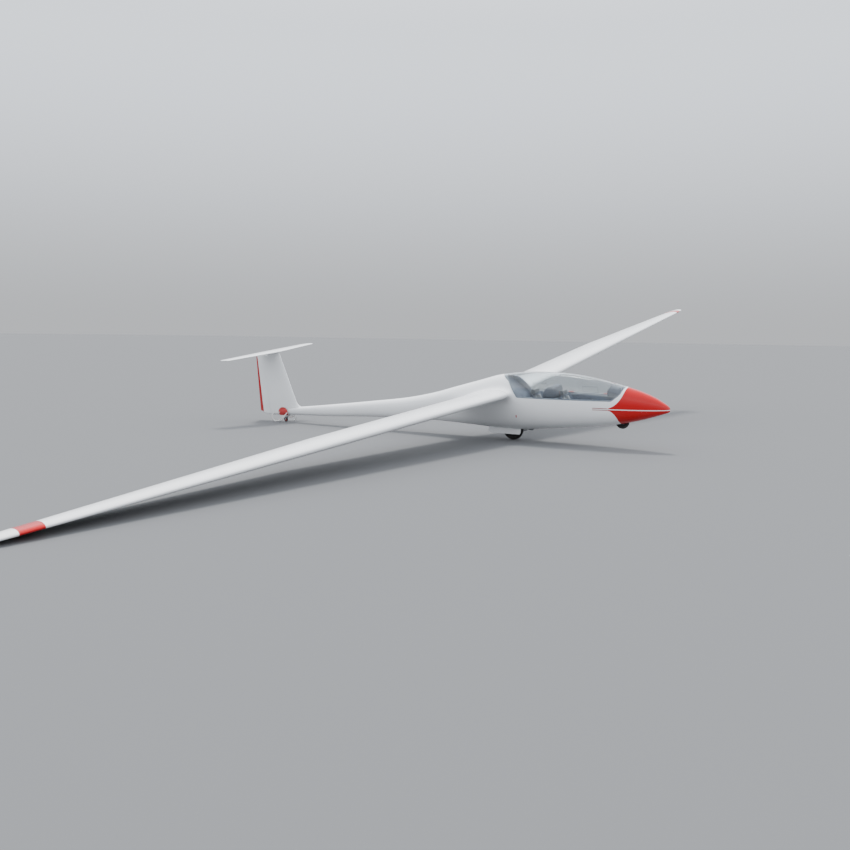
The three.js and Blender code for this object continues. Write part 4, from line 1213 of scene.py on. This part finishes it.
# Columns: place, half width, side-view outline
PODS = (
    ("rear", 0.180, [(0.640, 0.800), (0.655, 0.905), (0.705, 0.972), (0.774, 1.000), (0.862, 0.990),
                     (0.880, 0.940), (0.880, 0.800)]),
    ("front", 0.165, [(1.790, 0.620), (1.790, 0.960), (1.830, 1.050), (2.000, 1.030), (2.000, 0.900),
                      (1.850, 0.620)]),
)
under_sheet = hull_inside(0.030)
for place, half_width, outline in PODS:
    pod = side_prism(outline, -half_width, half_width)
    carve(pod, under_sheet, "INTERSECT", keep_tool=True)
    bevelled(pod, 0.030, 6, 25)
    settle(pod, f"pod_shell_{place}", "black_trim", pod_trim, [f"instrument_pod_{place}"])
discard(under_sheet)


# Repeated small parts are set out by one Geometry Nodes group: an item stands on every point of a
# mesh, its z axis along the point's "facing" and its x axis along the point's "along".
spread = bpy.data.node_groups.new("spread_items", "GeometryNodeTree")
ends = {
    "points": spread.interface.new_socket("Points", in_out="INPUT", socket_type="NodeSocketGeometry"),
    "item": spread.interface.new_socket("Item", in_out="INPUT", socket_type="NodeSocketObject"),
    "material": spread.interface.new_socket("Material", in_out="INPUT", socket_type="NodeSocketMaterial"),
}
spread.interface.new_socket("Geometry", in_out="OUTPUT", socket_type="NodeSocketGeometry")
inside, outside = spread.nodes.new("NodeGroupInput"), spread.nodes.new("NodeGroupOutput")
turns = [spread.nodes.new("FunctionNodeAlignRotationToVector") for _ in range(2)]
for turn, label, turned_axis, pivot in zip(turns, ("facing", "along"), ("Z", "X"), ("AUTO", "Z")):
    stored = spread.nodes.new("GeometryNodeInputNamedAttribute")
    stored.data_type = "FLOAT_VECTOR"
    stored.inputs["Name"].default_value = label
    turn.axis, turn.pivot_axis = turned_axis, pivot
    spread.links.new(stored.outputs["Attribute"], turn.inputs["Vector"])
spread.links.new(turns[0].outputs[0], turns[1].inputs["Rotation"])
item_of = spread.nodes.new("GeometryNodeObjectInfo")
stand = spread.nodes.new("GeometryNodeInstanceOnPoints")
realize = spread.nodes.new("GeometryNodeRealizeInstances")
dress = spread.nodes.new("GeometryNodeSetMaterial")
for source, target in (
    (inside.outputs["Item"], item_of.inputs["Object"]), (inside.outputs["Points"], stand.inputs["Points"]),
    (item_of.outputs["Geometry"], stand.inputs["Instance"]), (turns[1].outputs[0], stand.inputs["Rotation"]),
    (stand.outputs[0], realize.inputs[0]), (realize.outputs[0], dress.inputs["Geometry"]),
    (inside.outputs["Material"], dress.inputs["Material"]), (dress.outputs[0], outside.inputs[0]),
):
    spread.links.new(source, target)


def spread_items(name, item, material, spots):
    """Stands copies of an item on spots. Columns: place, facing, along. The item is used up"""
    mesh = bpy.data.meshes.new(name)
    mesh.from_pydata([tuple(spot[0]) for spot in spots], [], [])
    for column, label in ((1, "facing"), (2, "along")):
        store = mesh.attributes.new(label, "FLOAT_VECTOR", "POINT")
        store.data.foreach_set("vector", np.array([tuple(spot[column]) for spot in spots], float).ravel())
    piece = link_piece(name, mesh)
    setting = piece.modifiers.new("spread", "NODES")
    setting.node_group = spread
    setting[ends["item"].identifier] = item
    setting[ends["material"].identifier] = material
    baked(piece)
    discard(item)
    return piece


def screw(radius, rise=0.0012):
    return lathe([(AXIS, -rise), (radius, -rise), (radius, rise * 0.4), (radius * 0.75, rise), (AXIS, rise)],
                 (0, 0, 0), "Z", 12)


# Instruments. Round dials with dark faces, white marks and needles; the front panel has six and
# the rear one three, each in a bezel held by four screws.
dial_face = plain_material("dial_face", (0.010, 0.010, 0.011), 0.4)
dial_mark = plain_material("dial_mark", (0.80, 0.80, 0.77), 0.5)
bezel_black = plain_material("dial_bezel", (0.03, 0.03, 0.032), 0.35)
BIG, SMALL = 0.040, 0.0285
# Columns: the panel's x and lean, and its dials: y, height, radius, needle angle in degrees
PANELS = (
    (1.7890, 0.0, ((-0.070, 0.880, BIG, 210), (0.070, 0.880, BIG, 95), (-0.108, 0.790, SMALL, 20),
                   (0.000, 0.790, BIG, 270), (0.108, 0.790, SMALL, 140), (0.000, 0.940, SMALL, 45))),
    (0.6455, math.atan2(0.015, 0.105),
     ((-0.090, 0.850, BIG, 210), (0.005, 0.850, BIG, 95), (0.090, 0.850, SMALL, 20))),
)
MARK_STEPS, MARK_STEP = 21, 15


def dial_way(up, facing, degrees):
    """A direction across a dial, turned from its top"""
    angle = math.radians(degrees)
    return up * math.cos(angle) + up.cross(facing) * math.sin(angle)


marks, needles, bezels, faces, screws = [], [], [], [], []
for x, lean, dials in PANELS:
    facing = Vector((-math.cos(lean), 0, math.sin(lean)))
    up = Vector((math.sin(lean), 0, math.cos(lean)))
    turn = Matrix((up, facing.cross(up) * -1, facing)).transposed().to_4x4()
    for y, z, radius, needle in dials:
        centre = Vector((x, y, z)) + facing * 0.001
        bezel = [(radius, -0.002), (radius + 0.005, -0.002), (radius + 0.005, 0.003), (radius + 0.002, 0.006),
                 (radius - 0.001, 0.0035)]
        face = [(AXIS, -0.001), (radius + 0.001, -0.001), (radius + 0.001, 0.001), (AXIS, 0.001)]
        for profile, group in ((bezel, bezels), (face, faces)):
            group.append(lathe(profile, (0, 0, 0), "Z", 48))
            group[-1].data.transform(Matrix.Translation(centre) @ turn)
        for k in range(MARK_STEPS):
            way = dial_way(up, facing, -150 + k * MARK_STEP)
            marks.append((centre + facing * 0.0014 + way * radius * 0.84, facing, way))
        way = dial_way(up, facing, needle)
        needles.append((centre + facing * 0.0022 + way * radius * 0.34, facing, way))
        for k in range(4):
            way = dial_way(up, facing, 45 + 90 * k)
            screws.append((centre + way * (radius + 0.0075), facing, up))
settle(smooth_by_angle(joined("bezels", *bezels)), "dial_bezels", "black_trim", bezel_black)
settle(smooth_by_angle(joined("faces", *faces)), "dial_faces", "black_trim", dial_face)
mark = block((-0.003, -0.0006, -0.0003), (0.003, 0.0006, 0.0003))
needle = block((-0.010, -0.0011, -0.0004), (0.016, 0.0011, 0.0004))
for name, slot, item, paint, spots in (
    ("marks", "black_trim", mark, dial_mark, marks), ("needles", "black_trim", needle, dial_mark, needles),
    ("screws", "bare_metal", screw(0.0022), bare_metal, screws),
):
    settle(spread_items(name, item, paint, spots), f"dial_{name}", slot, None)


# Controls. Sticks with moulded grips and pleated boots, pedals on a cross bar, and on the left
# wall the airbrake, flap, trim and gear levers in their slots.
boot_rubber = plain_material("boot_rubber", (0.022, 0.022, 0.024), 0.8)
GRIP = [(AXIS, 0.0), (0.0125, 0.0), (0.0168, 0.004), (0.0160, 0.022), (0.0145, 0.034), (0.0160, 0.048),
        (0.0146, 0.062), (0.0160, 0.076), (0.0150, 0.092), (0.0168, 0.112), (0.0150, 0.124), (0.008, 0.1292),
        (AXIS, 0.1295)]
BUTTON = [(AXIS, 0.0), (0.005, 0.0), (0.005, 0.003), (AXIS, 0.004)]
GRIP_HEIGHT, GRIP_LEAN = 0.180, math.radians(5.2)
PLEATS = [(0.044 - 0.024 * t + (0.0035 if k % 2 else -0.0015), 0.001 + 0.07 * t)
          for k, t in enumerate(np.linspace(0, 1, 15))]
for place, x, foot_z in (("rear", 0.915, 0.300), ("front", 1.530, 0.364)):
    boot = lathe([(AXIS, 0.0), *PLEATS, (AXIS, 0.072)], (x, 0, foot_z), "Z", 40)
    settle(smooth_by_angle(boot, 60), f"stick_boot_{place}", "black_trim", boot_rubber, [f"stick_{place}"])
    stem = lathe([(AXIS, 0.05), (0.0105, 0.05), (0.0105, 0.19), (AXIS, 0.19)], (x, 0, foot_z), "Z", 24)
    settle(smooth_by_angle(stem), f"stick_rod_{place}", "bare_metal", bare_metal)
    grip = lathe(GRIP, (0, 0, 0), "Z", 32)
    stand_at = Matrix.Translation((x, 0, foot_z + GRIP_HEIGHT))
    grip.data.transform(stand_at @ Matrix.Rotation(GRIP_LEAN, 4, "Y"))
    settle(smooth_by_angle(grip), f"stick_grip_{place}", "black_trim", black_trim)
    button = lathe(BUTTON, (x + 0.0125, 0.0, foot_z + 0.3085), "Z", 16)
    settle(button, f"stick_button_{place}", "black_trim", knob_paints["red"])


def cross_rod(x, z, half, radius, sides):
    """A round bar, or the cutter of a hole, that runs across from side to side"""
    return rod((x, -half, z), (x, half, z), radius, sides)


pedal_parts = []
for y in (0.095, -0.095):
    plate = bevelled(block((2.086, y - 0.041, 0.613), (2.092, y + 0.041, 0.744)), 0.002)
    for z in (0.650, 0.684, 0.718):
        for shift in (-0.02, 0.02):
            carve(plate, rod((2.07, y + shift, z), (2.11, y + shift, z), 0.009, 20))
    pedal_parts += [plate, bevelled(block((2.060, y - 0.036, 0.613), (2.088, y + 0.036, 0.618)), 0.001)]
pedal_parts.append(cross_rod(2.090, 0.632, 0.188, 0.008, 24))
pedals = smooth_by_angle(joined("pedals", *pedal_parts))
settle(pedals, "pedal_set", "bare_metal", bare_metal, ["rudder_pedals"])

# Columns: seat x, lever's shift ahead, height, rod length, knob paint, knob radius
LEVERS = (
    (0.52, 0.10, 0.700, 0.060, "blue", 0.017), (0.52, 0.24, 0.730, 0.055, "black", 0.015),
    (0.52, 0.02, 0.640, 0.035, "green", 0.012), (1.10, 0.10, 0.700, 0.060, "blue", 0.017),
    (1.10, 0.26, 0.730, 0.055, "black", 0.015), (1.10, 0.02, 0.640, 0.035, "green", 0.012),
    (1.10, 0.42, 0.700, 0.040, "yellow", 0.014),
)
knobs = {}
lever_rods = []
for seat_x, ahead, z, length, paint, radius in LEVERS:
    x = seat_x + ahead
    wall = float(hull_half_width([x], [z])[0]) - 0.030
    end = (x, wall - length, z)
    lever_rods.append(rod((x, wall + 0.008, z), end, 0.0045, 16))
    knobs.setdefault(paint, []).append(ball(end, radius))
settle(smooth_by_angle(joined("rods", *lever_rods)), "lever_rods", "bare_metal", bare_metal)
for paint, balls in knobs.items():
    settle(joined("knobs", *balls), f"lever_knobs_{paint}", "black_trim", knob_paints[paint])

# Columns: height, depth under the hull's skin
LINER = ((0.435, 0.0205), (0.60, 0.0205), (0.76, 0.0205), (0.789, 0.0215), (0.789, 0.0275),
         (0.76, 0.0270), (0.735, 0.0250), (0.60, 0.0240), (0.435, 0.0235))
for place, side in (("left", 1), ("right", -1)):
    rings = [[(x, side * (float(hull_half_width([x], [z])[0]) - depth), z) for z, depth in LINER]
             for x in np.linspace(0.295, 1.775, 60)]
    liner = smooth_by_angle(loft("liner", rings), 30)
    settle(liner, f"wall_liner_{place}", "cockpit_trim", trim, [f"side_liner_{place}"])
discard(cabin)


# Landing gear. Rubber tyres with moulded ribs on cast hubs, each on an axle between two plates;
# the main wheel's doors stand open on their hinges and move only with the gear leg.
tyre_rubber = plain_material("tyre_rubber", (0.016, 0.016, 0.017), 0.82)


def grimed(material, clean, grime, share, patches, low, high):
    """Patches of grime over a paint or rubber. patches: scale, detail and roughness of their noise"""
    tree = material.node_tree
    patchy = remap(tree, noise(tree, own_axes(tree), *patches), low, high)
    shade(tree, ("Base Color", tinted(tree, calc(tree, "MULTIPLY", patchy, share), (*clean, 1), (*grime, 1))))


grimed(tyre_rubber, (0.014, 0.014, 0.015), (0.075, 0.068, 0.058), 0.5, (26.0, 5.0, 0.6), 0.42, 0.7)
grained(tyre_rubber, 160.0, 3.0, 0.0008)
hub_metal = plain_material("hub_metal", (0.55, 0.56, 0.57), 0.36, 0.85)
# The nose wheel's hub is painted near black as painted shade, standing for the shade it sits in under the
# nose; the main wheel's hub is bare metal.
nose_hub_shade_paint = plain_material("hub_dark_paint", (0.035, 0.036, 0.040), 0.5)
gear_paint = plain_material("gear_paint", (0.26, 0.27, 0.29), 0.45)
grimed(gear_paint, (0.26, 0.27, 0.29), (0.09, 0.075, 0.06), 0.6, (18.0, 6.0, 0.65), 0.45, 0.75)
dolly_red = coat_material("dolly_red_paint", None, 0.25, (0.55, 0.008, 0.016))


def around(x, z, radius, count, start=0.0):
    """Places spaced evenly round a circle in the side view"""
    angles = [k / count * 2 * math.pi + start for k in range(count)]
    return [(x + radius * math.cos(a), z + radius * math.sin(a)) for a in angles]


# Columns: name, x, z, radius, width, rim radius, tread ribs, hub holes, bore, hub slot and paint
WHEELS = (
    ("main_wheel", 0.000, MAIN_WHEEL_RADIUS, 0.189, 0.140, 0.092, 5, 6, 0.0125, "wheel_rim", hub_metal),
    ("nose_wheel", *NOSE_WHEEL, 0.115, 0.084, 0.060, 3, 6, 0.0125, "wheel_rim", nose_hub_shade_paint),
    ("dolly_wheel", -5.170, 0.047, 0.047, 0.036, 0.027, 0, 0, 0.0075, "dolly_red", dolly_red),
)
# A hub's outline from its bore to its rim. Columns: share of the rim radius, share of the width
HUB = ((0.30, 0.20), (0.36, 0.34), (0.42, 0.35), (0.50, 0.16), (0.82, 0.15), (0.88, 0.27), (0.96, 0.31))
GROOVE, TREAD_SHARE = 0.0035, 0.36
for name, x, z, radius, width, rim, ribs, holes, bore, slot_name, paint in WHEELS:
    flank = rim + (radius - rim) * 0.45
    profile = [(rim, -width * 0.30), (rim + 0.003, -width * 0.34), (rim + 0.006, -width * 0.33)]
    for a in np.linspace(-math.pi / 2, math.pi / 2, 73):
        r = flank + (radius - flank) * math.cos(a) - 0.0002
        along = width / 2 * math.sin(a)
        if ribs and abs(along) < width * TREAD_SHARE:
            phase = (along / (width * 2 * TREAD_SHARE) + 0.5) * ribs
            r -= GROOVE * (abs(phase % 1 - 0.5) > 0.40)
        profile.append((r, along))
    profile += [(rim + 0.006, width * 0.33), (rim + 0.003, width * 0.34), (rim, width * 0.30)]
    tyre = smooth_by_angle(lathe(profile, (x, 0, z), "Y", 128), 50)
    settle(tyre, f"{name}_rubber", "tyre", tyre_rubber, [f"{name}_tyre"], body=name)
    face = [(bore, 0.18), *((share * rim, out) for share, out in HUB), (rim - 0.0004, 0.31)]
    profile = [(r, -out * width) for r, out in face] + [(r, out * width) for r, out in reversed(face)]
    hub = lathe(profile, (x, 0, z), "Y", 96)
    for hole_x, hole_z in around(x, z, 0.66 * rim, holes):
        carve(hub, cross_rod(hole_x, hole_z, width, 0.105 * rim, 24))
    settle(smooth_by_angle(hub), f"{name}_disc", slot_name, paint, [f"{name}_hub"], body=name)
    bolts = [((bolt_x, side * width * 0.35, bolt_z), (0, side, 0), (1, 0, 0))
             for bolt_x, bolt_z in around(x, z, 0.38 * rim, 6, 0.3) for side in (1, -1)]
    heads = spread_items("bolts", screw(0.055 * rim, 0.025 * rim), bare_metal, bolts)
    settle(heads, f"{name}_bolts", "bare_metal", None, body=name)


def under_arc(x, z, radius, count):
    """The lower half of a circle in the side view"""
    return [(x + radius * math.cos(a), z + radius * math.sin(a)) for a in np.linspace(-math.pi, 0, count)]


# Columns: name, wheel's x, z and width, pivot's x and z, gap, arm width, plate thickness, and the
# lightening holes' places up the plate
FRAMES = (
    ("main_gear_frame", 0.000, MAIN_WHEEL_RADIUS, 0.140, -0.030, 0.430, 0.012, 0.046, 0.012,
     (0.35, 0.55, 0.75)),
    ("nose_wheel_frame", *NOSE_WHEEL, 0.084, 1.987, 0.576, 0.005, 0.024, 0.006, ()),
)
AXLE_RADIUS = 0.011
AXLE_NUT = [(AXIS, 0), (0.016, 0), (0.016, 0.004), (0.009, 0.005), (0.009, 0.009), (AXIS, 0.009)]
for name, x, z, width, pivot_x, pivot_z, gap, arm, thick, holes in FRAMES:
    near, far = width / 2 + gap, width / 2 + gap + thick
    parts = [cross_rod(x, z, far, AXLE_RADIUS, 32), cross_rod(pivot_x, pivot_z, far, 0.45 * arm, 32)]
    for side in (1, -1):
        outline = under_arc(x, z, arm / 2, 15) + [(pivot_x + arm / 2, pivot_z), (pivot_x - arm / 2, pivot_z)]
        plate = side_prism(outline, *sorted((side * near, side * far)))
        for t in holes:
            carve(plate, cross_rod(x + (pivot_x - x) * t, z + (pivot_z - z) * t, 0.2, 0.013, 28))
        nut = lathe(AXLE_NUT, (0, 0, 0), "Y", 6)
        turned = Matrix.Rotation(0 if side > 0 else math.pi, 4, "Z")
        nut.data.transform(Matrix.Translation((x, side * far, z)) @ turned)
        parts += [bevelled(plate, 0.0015), nut]
    settle(smooth_by_angle(joined(name, *parts)), f"{name}_parts", "gear_steel", gear_paint, [name])

DOOR_REAR, DOOR_FRONT, DOOR_TOP, DOOR_Y, DOOR_SPLAY = -0.425, 0.205, 0.244, 0.124, math.radians(12)
DOOR_HALF, RIB_DEPTH = 0.0035, 0.0015
# Below the door's hinge edge. Columns: x, height
DOOR = [(DOOR_REAR + 0.02, 0), (DOOR_FRONT, 0), (DOOR_FRONT, -0.095), (DOOR_FRONT - 0.022, -0.1178),
        (DOOR_REAR + 0.055, -0.1178), (DOOR_REAR, -0.085)]
DOOR_RIB = [(DOOR_REAR + 0.06, -0.012), (DOOR_FRONT - 0.04, -0.012), (DOOR_FRONT - 0.04, -0.020),
            (DOOR_REAR + 0.06, -0.020)]
hull_out = loft("hull_out", hull_rings(STATIONS, -0.0008))
for place, side in (("left", 1), ("right", -1)):
    panel = bevelled(side_prism(DOOR, -DOOR_HALF, DOOR_HALF), 0.0015)
    rib = side_prism(DOOR_RIB, *sorted((-side * DOOR_HALF, -side * (DOOR_HALF + RIB_DEPTH))))
    door = joined("door", panel, rib)
    hang = Matrix.Translation((0, side * DOOR_Y, DOOR_TOP))
    door.data.transform(hang @ Matrix.Rotation(side * DOOR_SPLAY, 4, "X"))
    carve(door, hull_out, keep_tool=True)
    settle(smooth_by_angle(door), f"gear_door_panel_{place}", "gelcoat", gelcoat, [f"gear_door_{place}"])
    pins = [rod((x - 0.022, side * 0.1215, 0.238), (x + 0.022, side * 0.1215, 0.238), 0.004, 16)
            for x in (-0.33, -0.11, 0.11)]
    hinges = smooth_by_angle(joined("hinges", *pins))
    settle(hinges, f"gear_door_hinges_{place}", "gear_steel", gear_paint)

hook = bevelled(block((0.301, -0.0195, 0.1902), (0.389, 0.0195, 0.256)), 0.002)
carve(hook, hull_out, keep_tool=True)
carve(hook, block((0.318, -0.007, 0.180), (0.372, 0.007, 0.220)))
jaw = tube([(0.322, 0, 0.212), (0.334, 0, 0.200), (0.350, 0, 0.197), (0.362, 0, 0.205)], 0.0045, 24)
tow_hook = smooth_by_angle(joined("hook", hook, jaw))
settle(tow_hook, "belly_tow_hook", "gear_steel", gear_paint, ["tow_hook"])


# Tail dolly. A red glass-fibre clamp lined with felt holds the boom and the foot of the fin; it
# stands on a castor under a plate, between two white tube bows, with a tow loop ahead.
def tail_grown(by):
    shape = loft("tail_hull", hull_rings(np.linspace(-4.6, -5.484 - 0.0001, 40), -by))
    return carve(shape, fin_body(by), "UNION")


PAD_X, PAD_Z, PAD_REACH, PAD_RISE = -5.168, 0.206, 0.146, 0.110


def pad_zone(inset, count=72):
    """What lies within the clamp's oval outline, seen from the side"""
    wide, tall = PAD_REACH - inset, PAD_RISE - inset / 2
    angles = [k / count * 2 * math.pi for k in range(count)]
    return side_prism([(PAD_X + wide * math.cos(a), PAD_Z + tall * math.sin(a)) for a in angles], -0.3, 0.3)


dolly_white = coat_material("dolly_white_paint", None, 0.35, (0.72, 0.72, 0.72))
felt_cloth = cloth_material("dolly_felt_cloth", (0.60, 0.59, 0.55), 380.0)
felt = carve(carve(tail_grown(0.009), tail_grown(0.0005)), pad_zone(0), "INTERSECT")
settle(smooth_by_angle(felt, 40), "dolly_felt_lining", "felt", felt_cloth, ["dolly_felt"])
shell = carve(tail_grown(0.0168), tail_grown(0.0094))
white_rim = carve(carve(copy_of(shell), pad_zone(0.005), "INTERSECT"), pad_zone(0.0165))
carve(shell, pad_zone(0.0168), "INTERSECT")
settle(smooth_by_angle(shell, 40), "dolly_clamp_shell", "dolly_red", dolly_red, ["dolly_shell"])
settle(smooth_by_angle(white_rim, 40), "dolly_clamp_rim", "dolly_white", dolly_white)

BOW = [(-5.270, 0.060, 0.200), (-5.385, 0.150, 0.178), (-5.355, 0.192, 0.085), (-5.255, 0.200, 0.044),
       (-5.118, 0.192, 0.076), (-5.070, 0.150, 0.156), (-5.060, 0.060, 0.205)]
TOW = [(-5.130, 0, 0.130), (-5.050, 0, 0.122), (-4.985, 0, 0.124), (-4.930, 0, 0.110), (-4.905, 0, 0.080),
       (-4.920, 0, 0.050), (-4.960, 0, 0.038)]
CASTOR_X, AXLE_X, AXLE_Z, TUBE_RADIUS = -5.138, -5.170, 0.047, 0.0098
frame_body = rod((CASTOR_X, 0, 0.109), (CASTOR_X, 0, 0.152), 0.034, 40)
carve(frame_body, tube(TOW, TUBE_RADIUS, 50, 18), "UNION")
for side in (1, -1):
    carve(frame_body, tube([(x, side * y, z) for x, y, z in BOW], TUBE_RADIUS, 90, 18), "UNION")
    carve(frame_body, rod((-5.240, side * 0.200, 0.044), (CASTOR_X, side * 0.020, 0.128), 0.008, 20), "UNION")
carve(frame_body, tail_grown(0.0172))
settle(smooth_by_angle(frame_body, 50), "dolly_bows", "dolly_white", dolly_white, ["dolly_frame"])

fork_parts = [bevelled(rod((CASTOR_X, 0, 0.099), (CASTOR_X, 0, 0.107), 0.030, 40), 0.0012),
              cross_rod(AXLE_X, AXLE_Z, 0.026, 0.006, 24)]
for side in (1, -1):
    outline = under_arc(AXLE_X, AXLE_Z, 0.012, 13) + [(-5.124, 0.106), (-5.164, 0.106)]
    plate = side_prism(outline, *sorted((side * 0.022, side * 0.027)))
    fork_parts.append(bevelled(plate, 0.0008))
fork = smooth_by_angle(joined("fork", *fork_parts))
settle(fork, "dolly_fork_parts", "gear_steel", gear_paint, ["dolly_fork"], body="dolly_fork")
discard(hull_out)


# Small things. A red wool yaw string on the canopy, two small sliding windows in its left side,
# the canopy's two levers, and a zigzag tape under each wing ahead of its hinges.
wool = plain_material("red_wool", (0.55, 0.01, 0.01), 0.9)
string = []
for x, y in zip(np.linspace(1.90, 1.79, 8), np.arange(8)):
    string.append((x, 0.006 * y / 7, float(hull_at([x])[0, 0]) + 0.0012))
settle(tube(string, 0.0009, 30, 8), "yaw_string", "upholstery", wool, body="canopy")


def on_canopy(x, z, rise):
    """A place on the canopy's left side"""
    return (x, float(hull_half_width([x], [z])[0]) + rise, z)


def canopy_rail(xs, zs, width, rise=0.0006):
    """A flat strip on the canopy's left side, along one height or along one station"""
    level = zs[0] == zs[-1]
    low = [on_canopy(x, z, rise) for x, z in zip(xs, zs)]
    high = [on_canopy(x + width * (not level), z + width * level, rise) for x, z in zip(xs, zs)]
    return thickened(loft("rail", [low, high], closed=False), 0.0010)


# Columns: rear, front, bottom, top
WINDOWS = ((0.27, 0.52, 0.86, 0.965), (1.18, 1.46, 0.845, 0.945))
rails = []
for rear, front, bottom, top in WINDOWS:
    xs, zs = np.linspace(rear, front, 30), np.linspace(bottom, top, 14)
    rails += [canopy_rail(xs, np.full(30, z), 0.006) for z in (bottom, top)]
    rails += [canopy_rail(np.full(14, x), zs, 0.004) for x in (rear, front)]
settle(joined("rails", *rails), "window_rails", "canopy_rim", trim_paint, body="canopy")

levers = []
lever_red = plain_material("lever_red", (0.60, 0.03, 0.04), 0.4)
for x in (0.98, 1.62):
    wall = float(hull_half_width([x], [0.84])[0]) - 0.020
    levers.append(bevelled(block((x - 0.045, wall - 0.016, 0.835), (x + 0.045, wall - 0.006, 0.851)), 0.003))
settle(smooth_by_angle(joined("levers", *levers)), "canopy_levers", "black_trim", lever_red, body="canopy")

# A tooth of the zigzag tape, seen from above
TOOTH = [(-0.005, -0.006), (0.001, 0.0), (-0.005, 0.006), (0.003, 0.006), (0.009, 0.0), (0.003, -0.006)]

for place, side in (("left", 1), ("right", -1)):
    teeth = []
    for y in np.arange(0.55, 9.15, 0.012):
        chord, ratio, _ = wing_row(y)
        s, h = foil(chord, ratio, CAMBER, points=80)[128:130].T
        spot, behind = wing_section(side, y, np.stack([s, h - 0.0003], axis=1))
        along = Vector(behind - spot).normalized()
        down = Vector((0, side, math.tan(DIHEDRAL))).normalized().cross(along)
        teeth.append((spot, down if down.z < 0 else -down, along))
    tape = spread_items("teeth", plan_prism(TOOTH, -0.0003, 0.0003), tape_white, teeth)
    settle(tape, f"zigzag_tape_{place}", "gelcoat", None)
discard(hull, cockpit_space)
